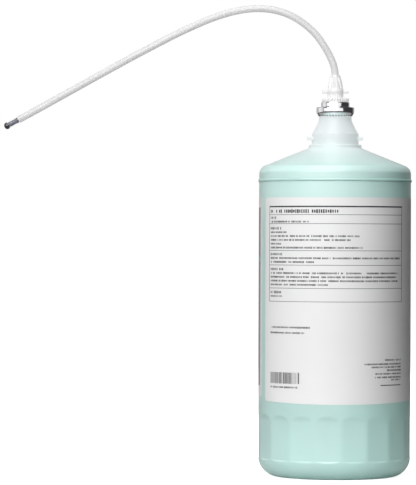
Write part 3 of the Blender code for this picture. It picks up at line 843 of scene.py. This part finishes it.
def labelSheet(name, span, node):
    flat = FlatPrint(label["radius"])
    start, end = flat.along(span[0]), flat.along(span[1])
    corner = label["corner"]
    eased = [corner * (1 - math.cos(math.radians(d))) for d in range(0, 91, 10)]
    middle = np.linspace(start + corner, end - corner, 110)[1:-1]
    places = [start + e for e in eased] + list(middle) + [end - e for e in reversed(eased)]
    columns = []
    for x in places:
        inFromEnd = min(x - start, end - x, corner)
        eaten = corner - math.sqrt(max(0.0, corner ** 2 - (corner - inFromEnd) ** 2))
        rise = label["bow"][node] * (1 - math.cos(min(abs(x / label["radius"]), math.pi / 2)))
        columns.append((x, label["low"][node] + rise + eaten, label["high"] - eaten))
    flat.strip(columns, label["thick"])
    return wrapPiece(flat, name, finishes["label"], 1, [node])


def barWidths(count, total):
    # the widths of plain bars and spaces, in modules, by a fixed draw
    draw = random.Random(11)
    widths = []
    while sum(widths) < total and len(widths) < count:
        widths.append(draw.choice((1, 1, 1, 2, 2, 3)))
    return widths


def directionsPrint(d):
    flat = FlatPrint(label["printRadius"])
    left, right = flat.along(d["frame"][0]), flat.along(d["frame"][1])
    start, end = flat.along(d["textStart"]), flat.along(d["textEnd"])
    topZ, topThick = d["topRule"]
    flat.box(left, right, topZ - topThick / 2, topZ + topThick / 2)
    for z in d["rules"]:
        half = d["ruleThick"] / 2
        flat.box(left + d["sideThick"], right - d["sideThick"], z - half, z + half)
    lowZ = d["rules"][-1] - half
    for x in (left, right - d["sideThick"]):
        flat.box(x, x + d["sideThick"], lowZ, topZ - topThick / 2 - 0.01 * mm)
    flat.row(start, d["title"][1], d["title"][0], "title")
    for headZ, headLength, rowLengths in d["blocks"]:
        flat.row(start, headLength * mm, headZ, "bold")
        for i, length in enumerate(rowLengths):
            flat.row(start, length * mm, headZ - d["firstDrop"] - i * d["pitch"], "plain")
    for z, length in d["captions"] + [d["digits"]]:
        flat.row(start, length * mm, z, "plain")
    for z, length in d["closing"]:
        flat.row(end - length * mm, length * mm, z, "small")
    barZ, barLength = d["closingBar"]
    flat.box(end - barLength * mm, end, barZ - 0.3 * mm, barZ + 0.3 * mm)
    x = start
    for i, width in enumerate(barWidths(80, d["bars"][2] / d["barModule"])):
        if i % 2 == 0:
            flat.box(x, x + width * d["barModule"], d["bars"][0], d["bars"][1])
        x += width * d["barModule"]
    return wrapPiece(flat, "directionsPrint", finishes["ink"], 7, [])


frontPanel = {
    "insetDeg": 5.5,
    "low": 0.0612,
    "high": 0.1803,
    "band": (0.1440, 0.1480),
    "window": (0.0860, 0.1360),
    "windowDeg": 34.0,
    "titleShares": (0.8, 0.55, 0.7),        # of the window's width
    "titleTop": 0.1690,
    "titlePitch": 5.0 * mm,
    "footShares": (0.9, 0.78, 0.66, 0.54),
    "footTop": 0.0790,
    "footPitch": 3.4 * mm,
    "rows": 11,
    "margin": 4 * mm,
    "ragged": 0.35,             # how much shorter the shortest row is
}


def frontPrint(p):
    # the other label: a plain slate field with a teal band and a pale window of rows
    radius = label["printRadius"]
    left, right = label["front"][0] + p["insetDeg"], label["front"][1] - p["insetDeg"]
    middle = (left + right) / 2
    field = FlatPrint(radius)
    field.box(field.along(left), field.along(right), p["low"], p["high"])
    wrapPiece(field, "frontField", finishes["panelInk"], 2, [])
    band = FlatPrint(radius + inkDepth + 0.01 * mm)
    band.box(band.along(left), band.along(right), *p["band"])
    wrapPiece(band, "frontBand", finishes["bandInk"], 3, [])
    window = FlatPrint(radius + inkDepth + 0.01 * mm)
    left, right = window.along(middle - p["windowDeg"]), window.along(middle + p["windowDeg"])
    window.box(left, right, *p["window"])
    for i, share in enumerate(p["titleShares"]):
        half = (right - left) / 2 * share
        window.row((left + right) / 2 - half, 2 * half, p["titleTop"] - i * p["titlePitch"], "title")
    for i, share in enumerate(p["footShares"]):
        window.row(left, (right - left) * share, p["footTop"] - i * p["footPitch"], "bold")
    wrapPiece(window, "frontWindow", finishes["paleInk"], 4, [])
    rows = FlatPrint(radius + 2 * inkDepth + 0.02 * mm)
    for i in range(p["rows"]):
        length = (right - left - 2 * p["margin"]) * (1.0 - p["ragged"] * ((i * 7) % 4) / 3)
        rows.row(left + p["margin"], length, p["window"][1] - (5 + 4.0 * i) * mm, "plain")
    wrapPiece(rows, "frontRows", finishes["ink"], 5, [])


labelSheet("directionsSheet", label["directions"], "directions_label")
labelSheet("frontSheet", label["front"], "front_label")
directionsPrint(directions)
frontPrint(frontPanel)
print("labels wrapped and printed")


# crimped ferrule

ferruleLow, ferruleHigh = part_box("crimp_ferrule")
ferrule = {
    "radius": ferruleHigh.x,
    "turret": 9.5 * mm,
    "turretTop": ferruleHigh.z,
    "hole": 7.0 * mm,
    "roof": 0.2475,
    "sheet": 0.4 * mm,
    "crimpLow": ferruleLow.z,
    "taper": 1.15 * mm,
    "columns": crimpMarks["count"] * 10,
}


def ferruleProfile(f):
    r, t, s, low, roof = f["radius"], f["turret"], f["sheet"], f["crimpLow"], f["roof"]
    outerTop = arc((t - 0.5 * mm, f["turretTop"] - 0.5 * mm), 0.5 * mm, 90, 0, 5)
    outerTop += [(t, f["turretTop"] - 0.58 * mm), (t, roof + s + 0.58 * mm)]
    rootFillet = arc((t + 0.5 * mm, roof + s + 0.5 * mm), 0.5 * mm, 180, 270, 5)
    brim = arc((r - 0.8 * mm, roof + s - 0.8 * mm), 0.8 * mm, 90, 0, 7)
    brim += [(r, roof + s - 0.88 * mm), (r, low + 3.15 * mm)]
    bend = [(r - 0.02 * mm, low + 3.0 * mm), (r - 0.12 * mm, low + 2.25 * mm)]
    bend += [(r - 0.30 * mm, low + 1.85 * mm)]
    bead = [(r - f["taper"] + 0.10 * mm, low + 0.65 * mm), (r - f["taper"] - 0.08 * mm, low + 0.25 * mm)]
    bead += [(r - f["taper"] - 0.16 * mm, low + 0.06 * mm)]
    inner = [(r - f["taper"] - 0.30 * mm, low), (r - f["taper"] - 0.38 * mm, low + 0.25 * mm)]
    inner += [(r - f["taper"] - 0.28 * mm, low + 0.8 * mm), (r - s - 0.05 * mm, low + 2.6 * mm)]
    inner += [(r - s, low + 3.2 * mm), (r - s, roof - 0.5 * mm), (r - s - 0.4 * mm, roof)]
    inner += [(t - s, roof), (t - s, f["turretTop"] - s), (f["hole"], f["turretTop"] - s)]
    return [(f["hole"], f["turretTop"])] + outerTop + rootFillet + brim + bend + bead + inner


def dimpleTree():
    # presses the collet's marks into the lower edge of the crimp
    graph, wires = newShapeTree("crimpMarks", {"Count": 36, "Deep": 0.0, "Low": 0.0, "Tall": 0.0})
    x, y, z, radius, angle = fieldPlace(graph)
    wave = 0.5 + 0.5 * graph.maths("COSINE", angle * wires["Count"])
    fade = graph.ease(z, wires["Low"] + wires["Tall"], wires["Low"])
    newRadius = radius - wires["Deep"] * fade * wave ** 2.0
    shaped = setRadius(graph, wires["Geometry"], x, y, z, radius, newRadius)
    return endShapeTree(graph, shaped, wires)


def makeFerrule(f):
    obj = addObject("crimpFerrule", turnedMesh("crimpFerrule", ferruleProfile(f), f["columns"]))
    shapeWith(obj, dimpleTree(), finishes["metal"], {
        "Count": crimpMarks["count"], "Deep": crimpMarks["deep"], "Low": f["crimpLow"],
        "Tall": crimpMarks["tall"]})
    return finishPiece(obj, finishes["metal"], "bottle_group", ["crimp_ferrule"], 50)


makeFerrule(ferrule)
print("ferrule crimped")


# collar

collarLow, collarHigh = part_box("pump_collar")
collar = {
    "radius": collarHigh.x,
    "low": 0.2516,
    "top": collarHigh.z,
    "bore": 5.7 * mm,           # the head's skirt goes down inside it
    "boss": 6.7 * mm,
    "bossLow": 0.2475,
    "guide": 5.3 * mm,
    "guideLow": collarLow.z,
    "stemBore": 3.2 * mm,
    "pocket": 0.2493,
    "teeth": 30,
    "toothWide": 1.35 * mm,
    "toothDeep": 0.95 * mm,
}


def collarProfile(c):
    r = c["radius"] - c["toothDeep"] * 0.60
    outer = arc((r - 0.4 * mm, c["top"] - 0.75 * mm), 0.4 * mm, 90, 0, 4)
    return [(c["bore"], c["top"] - 0.35 * mm)] + outer + [
        (r, c["low"]), (c["boss"], c["low"]), (c["boss"], c["bossLow"]), (c["guide"], c["bossLow"]),
        (c["guide"], c["guideLow"]), (c["stemBore"], c["guideLow"]), (c["stemBore"], c["pocket"]),
        (c["bore"], c["pocket"])]


def teethTree():
    # a ring of rounded teeth round the collar's rim
    sizes = {"Count": 30, "Radius": 0.0, "Wide": 0.0, "Deep": 0.0, "Tall": 0.0, "Middle": 0.0}
    graph, wires = newShapeTree("rimTeeth", sizes)
    ring = graph.node("GeometryNodeMeshCircle",
                      inputs={"Vertices": wires["Count"], "Radius": wires["Radius"]})
    turn = graph.vector(z=fieldPlace(graph)[4])
    size = graph.vector(wires["Deep"], wires["Wide"], wires["Tall"])
    tooth = graph.node("GeometryNodeMeshUVSphere", inputs={"Segments": 10, "Rings": 7, "Radius": 0.5})
    placed = graph.node("GeometryNodeInstanceOnPoints",
                        inputs={"Points": ring, "Instance": tooth, "Rotation": turn, "Scale": size})
    lifted = graph.node("GeometryNodeTransform",
                        inputs={"Geometry": placed, "Translation": graph.vector(z=wires["Middle"])})
    return endShapeTree(graph, graph.joined(lifted, wires["Geometry"]), wires)


def makeCollar(c):
    obj = addObject("pumpCollar", turnedMesh("pumpCollar", collarProfile(c), 180))
    tall = c["top"] - c["low"] - 0.1 * mm
    shapeWith(obj, teethTree(), finishes["white"], {
        "Count": c["teeth"], "Radius": c["radius"] - c["toothDeep"] / 2, "Wide": c["toothWide"],
        "Deep": c["toothDeep"], "Tall": tall, "Middle": c["low"] + 0.05 * mm + tall / 2})
    return finishPiece(obj, finishes["white"], "bottle_group", ["pump_collar"], 50)


makeCollar(collar)
print("collar knurled")


# nozzle head

headLow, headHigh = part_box("nozzle_head")
head = {
    "skirt": 5.4 * mm,
    "skirtLow": headLow.z,
    "tabLow": 0.2574,
    "tabHigh": 0.2599,
    "tabReach": headHigh.x,
    "tabHalf": 2.3 * mm,
    "tabSlope": 0.55,
    "top": headHigh.z,
    "tipRadius": tubeSetup["radius"] + 0.65 * mm,
    "socket": tubeSetup["radius"] + 0.3 * mm,
    "socketLow": 0.2612,
    "channel": 1.3 * mm,
    "stemBore": 3.2 * mm,
    "stemTop": 0.2583,
    "petals": 8,
    "petalDeep": 0.85 * mm,
    "petalTwist": 40.0,         # radians for each metre of height
    "skirtRibs": 20,
    "skirtRibDeep": 0.16 * mm,
}


def noseRadius(h, height):
    share = (height - h["tabHigh"]) / (h["top"] - h["tabHigh"])
    return h["tipRadius"] + (h["skirt"] - 0.1 * mm - h["tipRadius"]) * (1 - share ** 1.45)


def headProfile(h):
    nose = [(noseRadius(h, z), z) for z in np.linspace(h["top"], h["tabHigh"] + 0.2 * mm, 26)]
    ring = h["skirt"] + 0.35 * mm
    profile = [(h["socket"], h["top"])] + nose
    profile += [(ring - 0.15 * mm, h["tabHigh"]), (ring, h["tabHigh"] - 0.2 * mm)]
    profile += [(ring, h["tabLow"] + 0.2 * mm), (ring - 0.15 * mm, h["tabLow"])]
    profile += [(h["skirt"], h["tabLow"] - 0.15 * mm)]
    profile += straight(profile[-1], (h["skirt"], h["skirtLow"] + 0.3 * mm), 8)
    profile += [(h["skirt"] - 0.25 * mm, h["skirtLow"]), (h["stemBore"], h["skirtLow"])]
    profile += [(h["stemBore"], h["stemTop"]), (h["channel"], h["stemTop"] + 0.7 * mm)]
    profile += [(h["channel"], h["socketLow"]), (h["socket"], h["socketLow"])]
    return profile


def petalTree():
    # grooves between the petals of the nose, and shallow ribs on the skirt
    sizes = {"Petals": 8, "Deep": 0.0, "Twist": 0.0, "Low": 0.0, "High": 0.0, "Ribs": 20,
             "Rib Deep": 0.0, "Skirt Top": 0.0, "Outside": 0.0}
    graph, wires = newShapeTree("nosePetals", sizes)
    x, y, z, radius, angle = fieldPlace(graph)
    rise = (z - wires["Low"]) / (wires["High"] - wires["Low"])
    swing = angle + wires["Twist"] * (z - wires["Low"])
    groove = (0.5 + 0.5 * graph.maths("COSINE", swing * wires["Petals"])) ** 3.0
    onNose = graph.ease(rise, 0.0, 0.16) * graph.ease(rise, 1.0, 0.70)
    rib = 0.5 + 0.5 * graph.maths("COSINE", angle * wires["Ribs"])
    onSkirt = graph.maths("LESS_THAN", z, wires["Skirt Top"])
    outside = graph.maths("GREATER_THAN", radius, wires["Outside"])
    cut = (groove * onNose * wires["Deep"] + rib * onSkirt * wires["Rib Deep"]) * outside
    shaped = setRadius(graph, wires["Geometry"], x, y, z, radius, radius - cut)
    return endShapeTree(graph, shaped, wires)


def makeTab(h, side):
    # one locating tab; the right one's top falls away to its end
    inner = h["skirt"] - 1.2 * mm
    shape = bmesh.new()
    bmesh.ops.create_cube(shape, size=1.0)
    for vert in shape.verts:
        atEnd = vert.co.x * side > 0
        upper = vert.co.z > 0
        x = side * (h["tabReach"] if atEnd else inner)
        z = h["tabHigh"] if upper else h["tabLow"]
        if atEnd and upper and side > 0:
            z -= (h["tabHigh"] - h["tabLow"]) * h["tabSlope"]
        vert.co = (x, math.copysign(h["tabHalf"], vert.co.y), z)
    bmesh.ops.bevel(shape, geom=list(shape.edges), offset=0.25 * mm, segments=3, affect="EDGES", profile=0.5)
    mesh = bpy.data.meshes.new("tab")
    shape.to_mesh(mesh)
    shape.free()
    return addObject("tab", mesh)


def makeHead(h):
    obj = addObject("nozzleHead", turnedMesh("nozzleHead", headProfile(h), 240))
    shapeWith(obj, petalTree(), finishes["white"], {
        "Petals": h["petals"], "Deep": h["petalDeep"], "Twist": h["petalTwist"], "Low": h["tabHigh"],
        "High": h["top"], "Ribs": h["skirtRibs"], "Rib Deep": h["skirtRibDeep"],
        "Skirt Top": h["tabLow"] - 0.2 * mm, "Outside": h["socket"] + 0.15 * mm})
    tabs = [makeTab(h, side) for side in (1, -1)]
    for tab in tabs:
        union = obj.modifiers.new("union", "BOOLEAN")
        union.operation = "UNION"
        union.solver = "EXACT"
        union.object = tab
    freeze(obj)
    for tab in tabs:
        bpy.data.objects.remove(tab, do_unlink=True)
    return finishPiece(obj, finishes["white"], "head", ["nozzle_head"], 40)


makeHead(head)
print("nozzle head shaped")


# delivery tube and its tip

def makeTube(t, line):
    # a swept wall: an outer and an inner skin, joined at both ends
    sides = t["sides"]
    count = len(line)
    forward = np.gradient(line, axis=0)
    forward /= np.linalg.norm(forward, axis=1)[:, None]
    verts = []
    for radius in (t["radius"], t["bore"]):
        for place, ahead in zip(line, forward):
            across = np.array([ahead[2], 0.0, -ahead[0]])
            sideways = np.array([0.0, 1.0, 0.0])
            for j in range(sides):
                a = 2 * math.pi * j / sides
                verts.append(place + radius * (math.cos(a) * across + math.sin(a) * sideways))
    faces = []
    shares = []
    for skin in range(2):
        base = skin * count * sides
        for i in range(count - 1):
            for j in range(sides):
                k = (j + 1) % sides
                ring, nextRing = base + i * sides, base + (i + 1) * sides
                face = (ring + j, ring + k, nextRing + k, nextRing + j)
                corners = [(i, j), (i, j + 1), (i + 1, j + 1), (i + 1, j)]
                if skin:
                    face, corners = face[::-1], corners[::-1]
                faces.append(face)
                shares += [(a / (count - 1), b / sides) for a, b in corners]
    for i, flip in ((0, False), (count - 1, True)):
        for j in range(sides):
            k = (j + 1) % sides
            outer, inner = i * sides, count * sides + i * sides
            face = (outer + j, inner + j, inner + k, outer + k)
            faces.append(face[::-1] if flip else face)
            shares += [(i / (count - 1), j / sides)] * 4
    mesh = bpy.data.meshes.new("deliveryTube")
    mesh.from_pydata([tuple(v) for v in verts], [], faces)
    uvs = mesh.uv_layers.new(name="alongAround")
    uvs.data.foreach_set("uv", np.array(shares, dtype=float).ravel())
    mesh.update()
    return addObject("deliveryTube", mesh)


tip = {
    "radius": 2.25 * mm,
    "round": 1.7 * mm,
    "length": 2.95 * mm,
    "shank": 7.4 * mm,
    "shankRadius": 1.58 * mm,
    "collarRib": 1.78 * mm,
    "outlet": 0.6 * mm,
    "gap": 0.05 * mm,
    "blackShank": 0.7 * mm,
}


def makeTip(p, line):
    shank = p["shank"]
    profile = [(p["outlet"], p["length"] - 0.25 * mm), (p["outlet"] + 0.2 * mm, p["length"])]
    profile += arc((p["radius"] - p["round"], p["length"] - p["round"]), p["round"], 84, 0, 12)
    profile += [(p["radius"], p["gap"] + 0.25 * mm), (p["radius"] - 0.15 * mm, p["gap"])]
    profile += [(p["shankRadius"], p["gap"]), (p["shankRadius"], -p["blackShank"])]
    headPoints = len(profile) - 1
    for start in (-1.8 * mm, -3.7 * mm, -5.6 * mm):
        # three sealing ribs along the shank
        profile += [(p["shankRadius"], start + 0.35 * mm), (p["collarRib"], start + 0.1 * mm),
                    (p["collarRib"], start - 0.1 * mm), (p["shankRadius"], start - 0.35 * mm)]
    profile += [(p["collarRib"], -shank + 0.7 * mm), (p["collarRib"], -shank + 0.1 * mm)]
    profile += [(p["collarRib"] - 0.2 * mm, -shank), (p["outlet"], -shank)]
    mesh = turnedMesh("outletTip", profile, 64)
    mesh.materials.append(finishes["tip"])
    mesh.materials.append(finishes["shank"])
    for face in mesh.polygons:
        ring = min(face.vertices) // 64
        lastRing = max(face.vertices) // 64
        if headPoints <= ring and lastRing < len(profile) - 3:
            face.material_index = 1
    ahead = Vector(line[-1] - line[-2]).normalized()
    mesh.transform(Matrix.Translation(Vector(line[-1])) @ ahead.to_track_quat("Z", "Y").to_matrix().to_4x4())
    return addObject("outletTip", mesh)


tipPiece = makeTip(tip, tubeLine)
finishPiece(tipPiece, finishes["tip"], "head", ["outlet_tip"], 40)
tubePiece = makeTube(tubeSetup, tubeLine)
finishPiece(tubePiece, finishes["tube"], "head", ["delivery_tube"], 60)
print("tube and tip in place")


# CAD nodes that stay, with their own finishes

keptNodes = {
    "soap_fill": "soap", "neck_gasket": "seal", "pump_housing": "white", "main_spring": "steel",
    "inlet_ball": "steel", "dip_tube": "white", "piston": "white", "stem": "white", "outlet_ball": "steel",
}
for node, finish in keptNodes.items():
    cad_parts[node].data.materials.clear()
    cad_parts[node].data.materials.append(finishes[finish])
print("kept nodes finished:", len(keptNodes))


# stage and light

studio = {
    "windowRadius": 1.45,
    # azimuth in degrees from the front towards +X, height in degrees up, power, lights, reflects
    "windows": [
        ("mainWindow", (-47.0, 12.0), (-3.0, 60.0), 4.05, True, True),
        ("lowStrip", (-78.0, 46.0), (-5.0, 10.0), 1.25, False, True),
        ("sheenCard", (-54.0, 14.0), (-4.0, 24.0), 3.6, False, True),
        ("leftCard", (-125.0, -84.0), (-10.0, 50.0), 0.95, True, True),
        ("leftEdge", (-172.0, -126.0), (-10.0, 50.0), 0.55, False, True),
        ("rightEdge", (134.0, 165.0), (-5.0, 40.0), 0.40, False, True),
    ],
    "topRadius": 0.60,
    "topPlace": (-0.15, -0.25, 1.55),
    "topPower": 3.7,
    "bounceRadius": 0.135,
    "tableRadius": 0.60,
    "tablePower": 0.40,
    "roomDiffuse": 0.012,
    "roomGloss": 0.045,
    "backPower": 5.0,
    "backPlace": (0.25, 1.7, 0.75),
}


def glowFinish(name, strength):
    material = bpy.data.materials.new(name)
    material.use_nodes = True
    nodes = material.node_tree.nodes
    nodes.clear()
    graph = Graph(material.node_tree)
    light = graph.node("ShaderNodeEmission", inputs={"Color": (1.0, 1.0, 1.0, 1.0), "Strength": strength})
    end = nodes.new("ShaderNodeOutputMaterial")
    material.node_tree.links.new(light.socket, end.inputs["Surface"])
    return material


def floorFinish():
    # a pale lit table: real shade thins it only a little where the pack keeps the light off it, and its glow
    # is painted lower near the pack as a faint painted shadow
    material, graph, shader = newFinish("pale_floor")
    place = objectPlace(graph)
    x, y = graph.split(place)[:2]
    away = graph.maths("SQRT", x * x + y * y)
    # painted shadow: the glow is 0.90 near the pack and rises to 1.0 far out
    glow = graph.ease(away, 0.04, 0.5, 0.90, 1.0)
    paintedShadowTone = graph.node("ShaderNodeCombineColor", inputs={0: glow, 1: glow, 2: glow})
    speck = noise(graph, place, 90.0, 2.0)
    graph.fill(shader, {"Base Color": graph.mixColor(speck, (0.80, 0.80, 0.80, 1.0), (0.78, 0.78, 0.78, 1.0)),
                        "Emission Color": paintedShadowTone, "Roughness": 0.9, "Emission Strength": 1.0})
    return material


def curvedWindow(name, s, azimuth, height, power, lights, reflects):
    # part of a sphere of light round the pack
    columns, rows = 24, 16
    verts = []
    for i in range(rows + 1):
        up = math.radians(np.interp(i / rows, [0, 1], height))
        for j in range(columns + 1):
            side = math.radians(np.interp(j / columns, [0, 1], azimuth))
            verts.append((s["windowRadius"] * math.cos(up) * math.sin(side),
                          -s["windowRadius"] * math.cos(up) * math.cos(side),
                          0.15 + s["windowRadius"] * math.sin(up)))
    faces = []
    for i in range(rows):
        for j in range(columns):
            a = i * (columns + 1) + j
            faces.append((a, a + columns + 1, a + columns + 2, a + 1))
    mesh = bpy.data.meshes.new(name)
    mesh.from_pydata(verts, [], faces)
    mesh.materials.append(glowFinish(name + "Light", power))
    piece = addObject(name, mesh)
    piece.visible_camera = False
    piece.visible_diffuse = lights
    piece.visible_glossy = reflects
    return piece


def roundCard(name, radius, place):
    card = bmesh.new()
    bmesh.ops.create_circle(card, cap_ends=True, segments=64, radius=radius)
    mesh = bpy.data.meshes.new(name)
    card.to_mesh(mesh)
    card.free()
    piece = addObject(name, mesh)
    piece.location = place
    piece.visible_camera = False
    return piece


def makeStage(s):
    floor = bpy.data.meshes.new("floor")
    floor.from_pydata([(-6, -6, 0), (6, -6, 0), (6, 6, 0), (-6, 6, 0)], [], [(0, 1, 2, 3)])
    floorPiece = addObject("floor", floor)
    floorPiece.location.z = -0.0002
    floor.materials.append(floorFinish())
    floorPiece.visible_diffuse = False
    floorPiece.visible_glossy = False
    floorPiece.visible_shadow = False

    bounce = roundCard("bounceCard", s["bounceRadius"], (0.0, 0.0, -0.002))
    bounceMaterial, bounceGraph, bounceShader = newFinish("bounce_card")
    bounceGraph.fill(bounceShader, {"Base Color": (0.62, 0.62, 0.62, 1.0), "Roughness": 0.9})
    bounce.data.materials.append(bounceMaterial)
    top = roundCard("topCard", s["topRadius"], s["topPlace"])
    top.data.materials.append(glowFinish("topLight", s["topPower"]))
    table = roundCard("tableSheen", s["tableRadius"], (0.0, 0.0, -0.004))
    table.data.materials.append(glowFinish("tableLight", s["tablePower"]))
    table.visible_diffuse = False
    for name, azimuth, height, power, lights, reflects in s["windows"]:
        curvedWindow(name, s, azimuth, height, power, lights, reflects)

    back = bpy.data.lights.new("backFill", "AREA")
    back.shape = "DISK"
    back.size = 1.0
    back.energy = s["backPower"]
    backLight = addObject("backFill", back)
    backPlace = Vector(s["backPlace"])
    toPack = Vector((0, 0, 0.15)) - backPlace
    backLight.matrix_world = (Matrix.Translation(backPlace)
                              @ toPack.to_track_quat("-Z", "Y").to_matrix().to_4x4())
    backLight.visible_glossy = False
    backLight.visible_camera = False


def makeRoom(s):
    # white to the camera and through clear pieces, dim to the surfaces
    world = bpy.data.worlds.new("studioRoom")
    bpy.context.scene.world = world
    world.use_nodes = True
    graph = Graph(world.node_tree)
    background = world.node_tree.nodes["Background"]
    path = graph.node("ShaderNodeLightPath").socket.node
    seen = graph.maths("MAXIMUM", Wire(graph, path.outputs["Is Camera Ray"]),
                       Wire(graph, path.outputs["Is Transmission Ray"]))
    gloss = Wire(graph, path.outputs["Is Glossy Ray"])
    dim = s["roomDiffuse"] + (s["roomGloss"] - s["roomDiffuse"]) * gloss
    graph.feed(background.inputs["Strength"], dim + (1.0 - dim) * seen)
    background.inputs["Color"].default_value = (1.0, 1.0, 1.0, 1.0)
    view = bpy.context.scene.view_settings
    view.view_transform = "Standard"
    view.look = "None"


makeStage(studio)
makeRoom(studio)
print("stage and light set")
